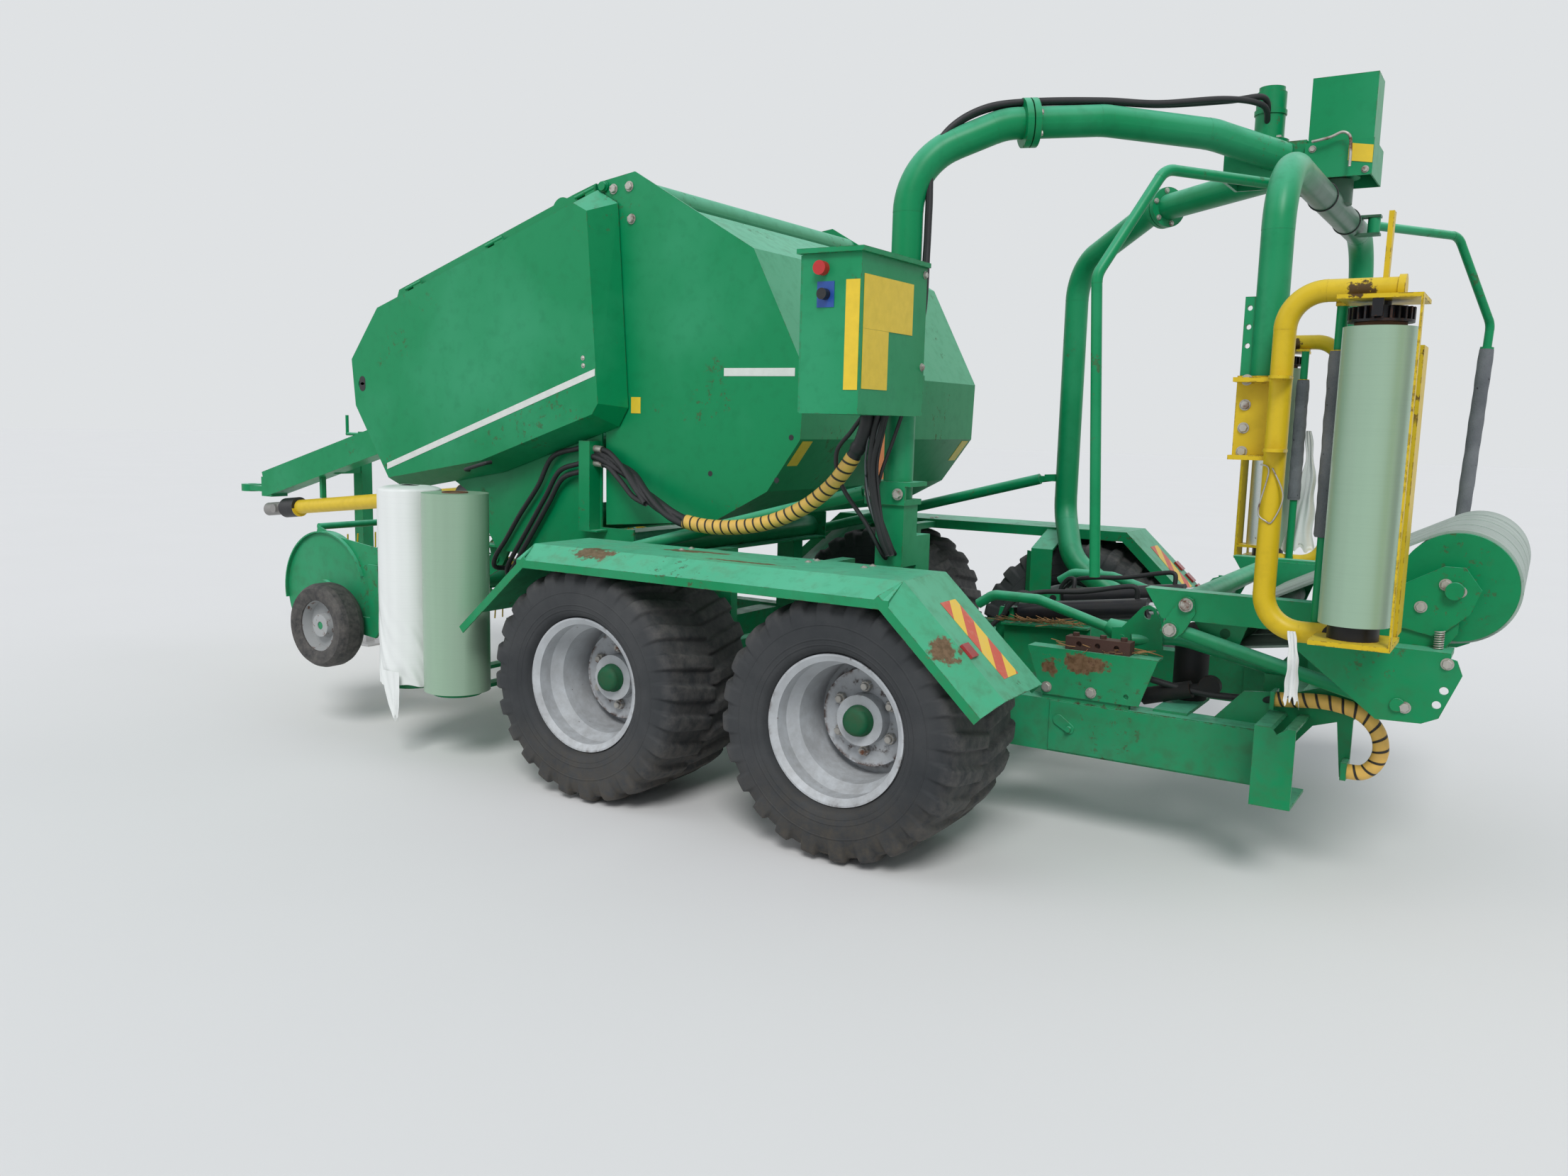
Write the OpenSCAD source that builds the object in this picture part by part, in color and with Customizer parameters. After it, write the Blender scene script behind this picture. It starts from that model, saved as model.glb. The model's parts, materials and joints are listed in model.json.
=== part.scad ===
// Trailed round baler with a wrapping table and a twin film-dispenser rotor, on one tandem chassis.
// X runs rearwards, -Y is the left side, +Z is up, the ground is z = 0 and the origin is on the
// ground below the middle of the machine.

/* [Wheels] */
// Radius of a tyre at its lug tips
tyre_r = 410; // [390:5:430]
// Width of a tyre
tyre_w = 490; // [450:5:510]
// Radius of the rim's outer lip
rim_r = 232; // [222:2:240]
// Width of the rim over its lips
rim_w = 430; // [400:5:440]
// Distance between the two axles
axle_gap = 990; // [940:5:1060]
// Distance from the middle plane to a rim's outer lip
lip_y = 1240; // [1225:5:1245]
// Number of lugs on each half of a tyre
lug_count = 24; // [18:1:26]
// Height of a lug
lug_h = 16; // [10:1:20]
// Radius of the hub bore in the rim's disc
hub_bore_r = 80.5; // [70:0.5:90]
// Radius of the wheel stud circle
stud_circle_r = 102.5; // [98:0.5:110]

/* [Chassis] */
// Height of the top of the side rails
rail_top = 453; // [440:1:460]
// Height of a side rail's section
rail_h = 170; // [150:5:180]
// Width of a side rail's section
rail_w = 80; // [60:5:90]
// Distance from the middle plane to a rail's centre line
rail_y = 560; // [540:5:570]
// Rear end of the side rails behind the bogie's middle
rail_rear = 1580; // [1560:5:1600]
// Front end of the side rails ahead of the bogie's middle
rail_front = 1500; // [1450:10:1520]

/* [Mudguards] */
// Distance from the middle plane to a mudguard's outer lip
guard_y = 1300; // [1290:5:1330]
// Distance from the middle plane to a mudguard's inner edge
guard_in_y = 925; // [900:5:950]
// Height of a mudguard's flat top
guard_z = 875; // [865:1:890]
// Thickness of the mudguard's sheet
guard_t = 5; // [4:0.5:8]

/* [Baler] */
// Inner radius of the bale chamber
chamber_r = 600; // [580:5:605]
// Outer half width of the chamber's side plates
chamber_y = 722; // [715:1:726]
// Thickness of the chamber's side plates
plate_t = 8; // [6:1:10]
// Gap between the fixed chamber half and the tailgate
split_gap = 12; // [8:1:16]
// Depth of a side cover from the chamber's plate to its outer face
cover_d = 120; // [100:5:130]

/* [Drawbar] */
// Distance from the bogie's middle to the front of the towing eye
eye_front = 4210; // [4150:10:4300]
// Radius of the towing eye's bore
eye_bore_r = 25; // [20:1:28]
// Outer radius of the towing eye
eye_r = 60; // [55:1:66]
// Height of the towing eye's middle
eye_z = 860; // [840:5:880]
// Height of the drawbar's section
bar_h = 140; // [120:5:150]
// Width of the drawbar's section
bar_w = 110; // [100:5:120]

/* [Pick-up] */
// Distance from the bogie's middle to the tine reel's axis
reel_x = 2080; // [2070:5:2090]
// Height of the tine reel's axis
reel_z = 560; // [550:5:580]
// Radius of the reel at its tine tips
reel_r = 238; // [220:2:242]
// Number of tine bars
reel_bars = 4; // [3:1:5]
// Number of tines on one bar
reel_tines = 14; // [8:1:16]
// Half width of the pick-up over its side plates
pickup_y = 1060; // [1040:5:1065]
// Radius of a gauge wheel
gauge_r = 172; // [160:2:180]
// Width of a gauge wheel
gauge_w = 120; // [100:5:130]

/* [Arches] */
// Diameter of the bent arch tubes
arch_d = 95; // [85:1:100]
// Distance from the middle plane to an arch's leg
arch_y = 802; // [795:1:815]
// Distance from the bogie's middle to an arch's leg
arch_x = 455; // [450:5:470]
// Top of the left arch
arch_top_left = 2270; // [2240:5:2290]
// Top of the right arch
arch_top_right = 2168; // [2165:1:2175]
// Distance from the bogie's middle to the rotor's axis
hub_x = 1550; // [1540:5:1560]
// Height of the head plate's underside
head_z = 2120; // [2115:1:2130]

/* [Rotor] */
// Diameter of the rotor's bent tube
rotor_d = 84; // [80:1:95]
// Distance from the rotor's axis to a leg
leg_y = 800; // [795:5:810]
// Height of the middle of the rotor's cross beam
beam_z = 2040; // [2030:1:2045]
// Distance across from the rotor's axis to a film roll
roll_y = 1000; // [990:5:1005]
// Distance along from the rotor's axis to a film roll
roll_x = 290; // [280:5:300]
// Radius of a film roll in a dispenser
roll_r = 83; // [60:1:84]
// Width of the film
film_w = 725; // [700:5:755]
// Height of a dispenser roll's lower end
roll_z = 852; // [845:1:855]
// Radius of a stretch roller
stretch_r = 36; // [30:1:38]
// Diameter of a dispenser's bent tube
frame_d = 56; // [50:1:70]
// Fins on the brake ring above a film roll
brake_fins = 24; // [12:1:30]

/* [Table] */
// Distance from the bogie's middle to the table's hinge
hinge_x = 1930; // [1920:5:1940]
// Height of the table's hinge
hinge_z = 603; // [600:1:610]
// Distance from the bogie's middle to the rear drum's axis
drum_x = 2035; // [2030:1:2040]
// Height of the rear drum's axis
drum_z = 915; // [910:1:920]
// Radius of the rear drum over its belts
drum_r = 155; // [145:1:158]
// Distance from the middle plane to a table beam's outer face
table_y = 625; // [615:1:630]
// Top of the table's side beams
table_z = 845; // [840:1:850]
// Number of table belts
belt_count = 4; // [3:1:5]

/* [Hidden] */
$fn = 48;

paint = [0.0, 0.48, 0.27];
yellow = [0.85, 0.70, 0.08];
silver = [0.72, 0.73, 0.72];
black = [0.09, 0.09, 0.1];
film = [0.62, 0.73, 0.62];
foam = [0.35, 0.36, 0.37];

bogie_x = (eye_front - drum_x - drum_r) / 2;
axle_z = tyre_r;
axle_x = axle_gap / 2;
wheel_y = lip_y - rim_w / 2;
rail_mid = rail_top - rail_h / 2;
chamber_x = -750;
chamber_z = 1525;
pivot_x = -850;
pivot_z = 2165;
foot_x = [-1180, -800];
foot_z = 758;
arm_z = 485;
beam_in_y = 645;
stub_r = 42;
head_h = 110;
head_w = 92;
leg_end = 1260;
ram_y = 240;
post_z = 865;
post_y = 700;
brace_z = 1098;
cutter_x = 1107;
cutter_y = 410;
cutter_z = 655;
cutter_rise = 88;
bracket_top = rail_top + 163;
gauge_x = -1945;
gauge_z = 448;
shaft_hook_z = 833.2;
stub_bore_r = 17.45;

// Small helpers

module place() translate([bogie_x, 0, 0]) children();

// Puts children at +y and, mirrored, at -y
module both_sides() {
    children();
    mirror([0, 1, 0]) children();
}

// Extrudes an outline drawn in x and z by t, centred on y
module slab(y, t) translate([0, y + t / 2, 0]) rotate([90, 0, 0]) linear_extrude(t) children();

// Extrudes an outline drawn in y and z by t, centred on x
module slab_x(x, t) translate([x - t / 2, 0, 0]) rotate([90, 0, 90]) linear_extrude(t) children();

// A cylinder along y, centred on y
module across(r, w, x = 0, y = 0, z = 0, fn = 48)
    translate([x, y, z]) rotate([90, 0, 0]) cylinder(h = w, r = r, center = true, $fn = fn);

// A box given by its lowest and highest corner
module block(a, b) translate(a) cube(b - a);

function unit(v) = v / norm(v);

// A frame at p whose columns are the given directions
module framed(p, ex, ey, ez)
    multmatrix([[ex[0], ey[0], ez[0], p[0]], [ex[1], ey[1], ez[1], p[1]], [ex[2], ey[2], ez[2], p[2]],
        [0, 0, 0, 1]]) children();

function side_of(a) = abs(a[2]) < 0.9 ? unit(cross(a, [0, 0, 1])) : unit(cross(a, [0, 1, 0]));

// A round bar from p to q
module rod(p, q, d, fn = 32, spin = 0) {
    a = unit(q - p);
    s = side_of(a);
    framed(p, s, cross(a, s), a) rotate([0, 0, spin]) cylinder(h = norm(q - p), d = d, $fn = fn);
}

// A rectangular bar from p to q; w is its width along the level side direction, h the other one
module beam(p, q, w, h) {
    a = unit(q - p);
    s = side_of(a);
    framed(p, s, cross(a, s), a) translate([-w / 2, -h / 2, 0]) cube([w, h, norm(q - p)]);
}

function turn_of(a, b) = acos(min(1, max(-1, a * b)));

// A tube of diameter d bent with radius r at each inner point of the path
module bent_tube(path, d, r, fn = 32) {
    n = len(path);
    dirs = [for (i = [0:n - 2]) unit(path[i + 1] - path[i])];
    cuts = [for (i = [0:n - 1]) (i == 0 || i == n - 1) ? 0 : r * tan(turn_of(dirs[i - 1], dirs[i]) / 2) - 3];
    for (i = [0:n - 2])
        rod(path[i] + dirs[i] * cuts[i], path[i + 1] - dirs[i] * cuts[i + 1], d, fn, 17);
    for (i = [1:1:n - 2]) {
        a = dirs[i - 1];
        b = dirs[i];
        inward = unit(b - a * (a * b));
        centre = path[i] - a * (cuts[i] + 3) + inward * r;
        // The bend is a hair thicker than the straight tubes that end inside it
        framed(centre, -inward, a, cross(-inward, a))
            rotate_extrude(angle = turn_of(a, b), $fn = 64) translate([r, 0]) circle(d = d + 0.8, $fn = fn);
    }
}

// A ring around y from angle a0 to a1, measured from +x towards +z
module ring_sector(r_out, r_in, w, a0, a1, x, z)
    translate([x, w / 2, z]) rotate([90, 0, 0]) rotate([0, 0, a0])
        rotate_extrude(angle = a1 - a0, $fn = 96) translate([r_in, 0]) square([r_out - r_in, w]);

// Chassis

module main_frame() color(paint) place() {
    rail_lo = rail_top - rail_h;
    both_sides() {
        block([-rail_front, rail_y - rail_w / 2, rail_lo], [rail_rear, rail_y + rail_w / 2, rail_top]);
        // Uprights that carry the chamber
        for (x = foot_x)
            block([x - 45, rail_y - rail_w / 2, rail_top], [x + 45, rail_y + rail_w / 2, foot_z]);
        // Rear arm with the pin that the table tips on
        slab(rail_y - rail_w / 2 - 7, 14)
            polygon([[1300, rail_lo + 20], [1570, rail_lo + 20], [1700, 470], [1790, 500],
                [hinge_x + 40, hinge_z - 44], [hinge_x + 40, hinge_z + 42], [hinge_x - 50, hinge_z + 42],
                [1640, 560], [1500, 545], [1420, rail_top], [1300, rail_top]]);
        slab(rail_y - rail_w / 2 - 7, 14) polygon([[1762, 510], [1806, 525], [1806, 330], [1782, 330]]);
        across(38, 40, hinge_x, rail_y - rail_w / 2 - 7, hinge_z);
        across(18, 210, hinge_x, rail_y + 50, hinge_z);
        // Fixed eyes of the table rams
        for (s = [-1, 1]) slab(ram_y + s * 18, 10) difference() {
            polygon([[570, rail_top - 10], [680, rail_top - 10], [ram_a[0] + 24, ram_a[1] + 22],
                [ram_a[0] - 24, ram_a[1] + 22]]);
            translate(ram_a) circle(r = 13.1);
        }
        guard_post(-240);
        // Seat of the film cutter's fixed arm
        block([1540, cutter_y - 20, rail_top - 10], [1600, cutter_y + 20, 590]);
        bent_tube([[1140, cutter_y + 64, cutter_z], [1280, cutter_y + 8, cutter_z + 6],
            [1625, cutter_y, 588]], 34, 120);
        difference() {
            slab(cutter_y + 56, 8) polygon([[cutter_x - 32, cutter_z - 32], [cutter_x + 132, cutter_z - 24],
                [cutter_x + 130, cutter_z + 20], [cutter_x + 116, cutter_z + 74], [cutter_x + 100, cutter_z + 106],
                [cutter_x + 82, cutter_z + 115], [cutter_x + 62, cutter_z + 108], [cutter_x, cutter_z + 36],
                [cutter_x - 32, cutter_z + 32]]);
            across(16, 40, cutter_x + 82, cutter_y + 56, cutter_z + 86);
        }
        across(12, 100, cutter_x, cutter_y + 14, cutter_z);
        // Angle bar below the ram
        slab(294, 8) polygon([[640, rail_top - 13], [700, rail_top - 13], [950, 560], [950, 648], [640, 636]]);
        framed([640, 0, 630], [0, 1, 0], [-sin(2.2), 0, cos(2.2)], [cos(2.2), 0, sin(2.2)])
            translate([290, 0, 0]) cube([44, 7, 310]);
    }
    for (x = [-rail_front + 60, -880, 615, rail_rear - 60])
        block([x - 50, -rail_y, rail_lo + 20], [x + 50, rail_y, rail_top - 10]);
    // Pivot tube between the walking beams
    across(70, 2 * beam_in_y, 0, 0, rail_mid);
    mirror([0, 1, 0]) {
        guard_post(240);
        // Plate that stiffens the rail behind the rear wheel, with its oval bolt washer
        block([930, rail_y + rail_w / 2, rail_lo + 6], [rail_rear - 8, rail_y + rail_w / 2 + 5, rail_top - 3]);
        slab(rail_y + rail_w / 2 + 8, 6) {
            translate([962, 391]) circle(r = 17);
            translate([1000, 366]) circle(r = 15);
            polygon([[971, 405], [1008, 379], [992, 354], [953, 377]]);
        }
        across(9, 16, 999, rail_y + rail_w / 2 + 16, 367, 24);
        // Tabs that hold the ends of the rear hose
        block([1586, 506, 512], [1598, 576, 566]);
        block([1790, 506, 336], [1806, 576, 388]);
        // Shelf for the oil filter, and the push rod beside the table
        block([1246, 272, rail_top - 3], [1350, rail_y, rail_top + 8]);
        rod([1306, 600, 725], [1850, 600, 590], 40, 32, 17);
        across(25, 30, 1301, 600, 726);
        across(27, 34, 1850, 600, 590);
        across(12, 104, 1850, 564, 590);
    }
    // Foot of the folded sheet post below the right mudguard
    block([341, rail_y - rail_w / 2, rail_top], [425, rail_y + rail_w / 2, arm_z + 10]);
    block([341, rail_y, arm_z], [425, 742, arm_z + 40]);
}

// Post and arm that carry a mudguard between the wheels
module guard_post(x) {
    block([x - 25, rail_y - rail_w / 2, rail_top], [x + 25, rail_y + rail_w / 2, arm_z]);
    block([x - 25, rail_y, arm_z], [x + 25, 765, arm_z + 40]);
    block([x - 25, 725, arm_z], [x + 25, 765, guard_z - 10]);
}

module lamp_boxes() color(paint) place() {
    x0 = rail_rear;
    both_sides() difference() {
        block([x0, 520, 268], [x0 + 110, 745, 500]);
        block([x0 + 8, 512, 276], [x0 + 120, 737, 492]);
        // The box is cut slanting so that its open side faces the rear
        translate([x0 + 60, 500, 480]) rotate([0, -38, 0]) cube([200, 300, 200]);
    }
}

module tail_lamps() place() both_sides() {
    color(black) block([rail_rear + 8, 560, 330], [rail_rear + 30, 730, 430]);
    color("firebrick") block([rail_rear + 30, 570, 340], [rail_rear + 48, 720, 420]);
}

module walking_beams() color([0.0, 0.30, 0.17]) place() both_sides() {
    slab(beam_in_y + 45, 90) polygon([[-axle_x - 80, axle_z - 60], [-90, rail_mid - 110], [90, rail_mid - 110],
        [axle_x + 80, axle_z - 60], [axle_x + 80, axle_z + 60], [120, rail_mid + 100],
        [-120, rail_mid + 100], [-axle_x - 80, axle_z + 60]]);
    // Stub axles and the cap of the pivot
    for (x = [-axle_x, axle_x]) {
        across(stub_r, 255, x, beam_in_y + 90 + 125, axle_z);
        across(62, 20, x, beam_in_y + 99, axle_z);
    }
    across(64, 24, 0, beam_in_y + 101, rail_mid);
}

// Outline of a mudguard's ridge in x and z, and the drop to its lip
guard_path = [[-1056, guard_z - 278], [-740, guard_z], [692, guard_z], [1016, guard_z - 305]];

// One side's sheet: inner lip, flat top, outer bevel and outer lip, drawn across each straight run
module guard_sheet() {
    ridge_y = guard_y - 90;
    for (i = [0:len(guard_path) - 2]) {
        a = guard_path[i];
        b = guard_path[i + 1];
        d = unit(b - a);
        up = [-d[1], d[0]];
        section = [[guard_in_y, -42], [guard_in_y, 0], [ridge_y, 0], [guard_y, -48], [guard_y, -75],
            [guard_y - guard_t, -75], [guard_y - guard_t, -48 - guard_t * 0.5], [ridge_y - 1, -guard_t],
            [guard_in_y + guard_t, -guard_t], [guard_in_y + guard_t, -42]];
        framed([a[0], 0, a[1]], [0, 1, 0], [up[0], 0, up[1]], [d[0], 0, d[1]])
            linear_extrude(norm(b - a)) polygon(section);
    }
}

module mudguards() color(paint) place() {
    both_sides() guard_sheet();
    // Carrying arms from the posts to the inner lip
    for (p = [[-240, 1], [-240, -1], [240, -1]]) mirror([0, p[1] > 0 ? 0 : 1, 0])
        block([p[0] - 25, 765, guard_z - 38], [p[0] + 25, guard_in_y + 2, guard_z - 10]);
    // Folded sheet post of the right side, with its bevelled front edge
    slab_x(383, 96) polygon([[736, arm_z + 40], [736, 794], [guard_in_y + 2, guard_z - 8],
        [guard_in_y + 2, guard_z - 15], [742, 787], [742, arm_z + 40]]);
    translate([0, 0, arm_z + 40]) linear_extrude(255) polygon([[336, 736], [336, 742], [312, 766], [307, 762]]);
}

module reflectors() color("firebrick") place() {
    d = unit(guard_path[3] - guard_path[2]);
    up = [-d[1], d[0]];
    // Distance down the rear slope and side of each reflector
    for (r = [[270, -1], [230, 1], [300, 1], [365, 1]])
        framed([guard_path[2][0] + d[0] * r[0] + up[0] * 0.3, r[1] * (guard_y - 118),
            guard_path[2][1] + d[1] * r[0] + up[1] * 0.3], [0, 1, 0], [up[0], 0, up[1]], [d[0], 0, d[1]])
            translate([-22, 0, -24]) cube([44, 9, 48]);
}

// Drawbar, drive shaft and jack

bar_z = 1175;
bar_bend = -2950;
bar_tip = [-3960, 890];
bar_drop = atan2(bar_z - bar_tip[1], bar_bend - bar_tip[0]);

module drawbar() color(paint) place() difference() {
    h = bar_h / 2;
    mitre = h * tan(bar_drop / 2);
    n = h * [-sin(bar_drop), cos(bar_drop)];
    union() {
        slab(0, bar_w) polygon([[-1560, bar_z + h], [bar_bend - mitre, bar_z + h], bar_tip + n, bar_tip - n,
            [bar_bend + mitre, bar_z - h], [-1560, bar_z - h]]);
        // Head tube between the chamber's side plates
        across(65, 2 * (chamber_y - plate_t), -1545, 0, 1175);
        // Eye and the plate that carries it
        block([-4140, -45, eye_z - 15], [-3920, 45, eye_z + 15]);
        block([-3990, -52, eye_z - 40], [-3900, 52, eye_z + 70]);
        translate([-eye_front + eye_r, 0, eye_z - 20]) cylinder(h = 40, r = eye_r);
        // Hook that holds the parked drive shaft, and the jack's bracket
        block([-3520, -14, shaft_hook_z], [-3500, 14, 1000]);
        block([jack_x - 30, 0, 970], [jack_x + 30, jack_y - 35, 1050]);
    }
    translate([-eye_front + eye_r, 0, eye_z - 60]) cylinder(h = 120, r = eye_bore_r);
}

shaft_a = [-2205, 0, 930];
shaft_b = [-3900, 0, 752];

module pto_shaft() place() {
    d = unit(shaft_b - shaft_a);
    color(yellow) rod(shaft_a + d * 180, shaft_a + d * 1540, 78);
    color(black) {
        rod(shaft_a + d * 60, shaft_a + d * 200, 110);
        rod(shaft_a + d * 1520, shaft_a + d * 1640, 110);
    }
    color(silver) rod(shaft_a, shaft_b, 44);
    // Front yoke with its bore for the tractor's stub
    color(silver) difference() {
        union() {
            rod(shaft_b - d * 30, shaft_b + d * 100, 74);
            across(24, 100, shaft_b[0] + 5, 0, shaft_b[2] + 1);
        }
        rod(shaft_b + d * 20, shaft_b + d * 120, 2 * stub_bore_r);
    }
    // Gearbox below the drawbar
    color([0.2, 0.2, 0.22]) block([-2205, -110, 880], [-1990, 110, 1105]);
}

jack_x = -3430;
jack_y = 205;

module jack_tube() color(paint) place() {
    difference() {
        block([jack_x - 35, jack_y - 35, 340], [jack_x + 35, jack_y + 35, 1150]);
        block([jack_x - 30, jack_y - 30, 330], [jack_x + 30, jack_y + 30, 1130]);
    }
    translate([jack_x, jack_y, 1150]) cylinder(h = 50, d = 44);
    rod([jack_x, jack_y, 1185], [jack_x - 130, jack_y, 1185], 18);
    rod([jack_x - 125, jack_y, 1180], [jack_x - 125, jack_y, 1290], 18);
}

module jack_leg() color(silver) place() {
    block([jack_x - 29.7, jack_y - 29.7, 10], [jack_x + 29.7, jack_y + 29.7, 760]);
    block([jack_x - 110, jack_y - 80, 0], [jack_x + 110, jack_y + 80, 10]);
}

// Baler

front_plate = [[-860, 2190], [-1000, 2150], [-1995, 1832], [-2080, 1640], [-2110, 1400], [-1990, 1200],
    [-1600, 1000], [-1420, 760], [-700, 760], [-700, 893], [-860, 893]];
cover_hinge = [-1994, chamber_y + 14, 1812];
cover_dir = [0.9534, 0, 0.3018];
knuckles = [60, 560, 1060];

// Strip beside the cover's hinge line, from t0 to t1 along it and from n0 to n1 across it
module hinge_strip(t0, t1, n0, n1, y, w) {
    u = [cover_dir[0], cover_dir[2]];
    n = [-u[1], u[0]];
    o = [cover_hinge[0], cover_hinge[2]];
    slab(y, w) polygon([o + u * t0 + n * n0, o + u * t1 + n * n0, o + u * t1 + n * n1, o + u * t0 + n * n1]);
}

module chamber_front() color(paint) place() {
    w = chamber_y - plate_t;
    both_sides() {
        slab(w + plate_t / 2, plate_t) difference() {
            polygon(front_plate);
            translate([pivot_x, pivot_z]) circle(r = 46);
        }
        // Hinge arm and pin of the tailgate
        slab(w - 11, 12) polygon([[-1000, 2060], [-940, 2168], [pivot_x - 10, pivot_z + 26],
            [pivot_x + 26, pivot_z + 10], [pivot_x + 10, pivot_z - 28]]);
        slab(w - 4, 10) polygon([[-1000, 2060], [-940, 2168], [-905, 2172], [-905, 2130]]);
        across(16, 45, pivot_x, w + 5, pivot_z);
        across(20, 6, pivot_x, chamber_y + 5, pivot_z);
        // Feet on the chassis uprights
        for (x = foot_x) block([x - 55, rail_y - 50, foot_z], [x + 55, w, foot_z + 12]);
        // Lug and pin that carry the pick-up
        slab(664, 12) polygon([[-1506, 690], [-1450, 690], [-1400, 770], [-1525, 770]]);
        across(14, 60, pickup_pivot[0], 650, pickup_pivot[2]);
        // Knuckles of the side cover's hinge
        for (t = knuckles) {
            rod(cover_hinge + cover_dir * t, cover_hinge + cover_dir * (t + 50), 12);
            hinge_strip(t, t + 50, -4, 4, chamber_y + 7, 14);
        }
    }
    ring_sector(chamber_r + 10, chamber_r, 2 * w, 103, 205, chamber_x, chamber_z);
    // Cross tubes at the top, at the crop inlet and below the chamber
    across(50, 2 * w, -1070, 0, 2095);
    across(55, 2 * w, -1395, 0, 1180);
    across(60, 2 * w, -1230, 0, 890);
    across(50, 2 * w, -790, 0, 820);
    block([-1540, -w, 770], [-700, w, 778]);
}

module front_housing() color(paint) place() {
    // Folded sheet box between the side plates
    slab(0, 2 * (chamber_y - plate_t)) difference() {
        polygon([[-1610, 1290], [-1620, 1500], [-1500, 1770], [-1700, 1760], [-1990, 1660], [-2070, 1500],
            [-2070, 1290]]);
        polygon([[-1615, 1295], [-1625, 1500], [-1508, 1764], [-1699, 1754], [-1987, 1655], [-2065, 1498],
            [-2065, 1295]]);
    }
}

cover_base = [[-2010, 1796], [-879, 2154], [-780, 2100], [-725, 1353], [-770, 1282], [-1379, 1084],
    [-1953, 984], [-2200, 1323], [-2228, 1531]];
cover_face = [[-1985, 1745], [-893, 2090], [-828, 2058], [-772, 1365], [-800, 1325], [-1385, 1132],
    [-1935, 1040], [-2135, 1340], [-2155, 1535]];

module cover_shape(inset, depth) hull() {
    y0 = chamber_y + 6;
    slab(y0 + 1, 2) offset(delta = -inset) polygon(cover_base);
    slab(y0 + depth - 1, 2) offset(delta = -inset) polygon(cover_face);
}

module cover() color(paint) place() {
    cover_shell();
    for (t = knuckles) {
        rod(cover_hinge + cover_dir * (t + 50.3), cover_hinge + cover_dir * (t + 100), 12);
        hinge_strip(t + 50.3, t + 100, -17, 0, chamber_y + 14, 6);
    }
}

module cover_shell() difference() {
    cover_shape(0, cover_d);
    translate([0, -3, 0]) cover_shape(5, cover_d - 2);
    across(22, 60, -2092, chamber_y + cover_d, 1430, 32);
}

module cover_left() mirror([0, 1, 0]) cover();
module cover_right() cover();

module hose_bracket() color(paint) place() {
    y0 = -chamber_y;
    block([-922, y0 - 62, 880], [-868, y0 - 56, 1225]);
    block([-874, y0 - 62, 880], [-868, y0, 1225]);
    block([-922, y0 - 62, 1219], [-868, y0, 1225]);
    block([-922, y0 - 62, 880], [-830, y0, 886]);
    // Couplings in front of the plate
    for (z = [1139, 1198]) rod([-930, y0 - 29, z], [-874, y0 - 29, z], 26, 24);
}

// Side outline of the tailgate
gate_plate = [[-848, 2188], [-707, 2208], [-176, 1907], [41, 1494], [34, 1257], [-100, 1070], [-330, 948],
    [-848 + split_gap, 905]];

module tailgate() color(paint) place() {
    w = chamber_y - plate_t;
    both_sides() slab(w + plate_t / 2, plate_t) difference() {
        polygon(gate_plate);
        translate([pivot_x, pivot_z]) circle(r = 16.1);
    }
    // Rear skin, bent along the side plates' edge down to the bottom
    skin = [[-380, 2022.6], gate_plate[2], gate_plate[3], gate_plate[4], gate_plate[5], gate_plate[6]];
    slab(0, 2 * w) difference() {
        polygon(skin);
        polygon([for (p = skin) p + [-8, p[1] > 1500 ? -8 : 8]]);
    }
    ring_sector(chamber_r + 10, chamber_r, 2 * w, -80, 60, chamber_x, chamber_z);
    across(60, 2 * w, -640, 0, 2100);
}

// Wrapper's arches

arch_left_path = [[arch_x, -arch_y, 1078], [arch_x, -arch_y, 2120], [690, -625, arch_top_left - 22],
    [941, -440, arch_top_left], [1220, -223, arch_top_left - 25], [1410, -75, head_z + 64]];
arch_right_path = [[930, post_y - 10, 598], [760, post_y - 10, 610], [arch_x + 80, post_y - 6, 760],
    [arch_x, arch_y, 960], [arch_x, arch_y, 1985], [834, 520, arch_top_right - 18],
    [1410, 75, head_z + 49]];

module collar(p, q) {
    a = unit(q - p);
    c = p + a * 75;
    rod(c - a * 22, c - a * 2, arch_d + 52);
    rod(c + a * 2, c + a * 22, arch_d + 52);
}

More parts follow.
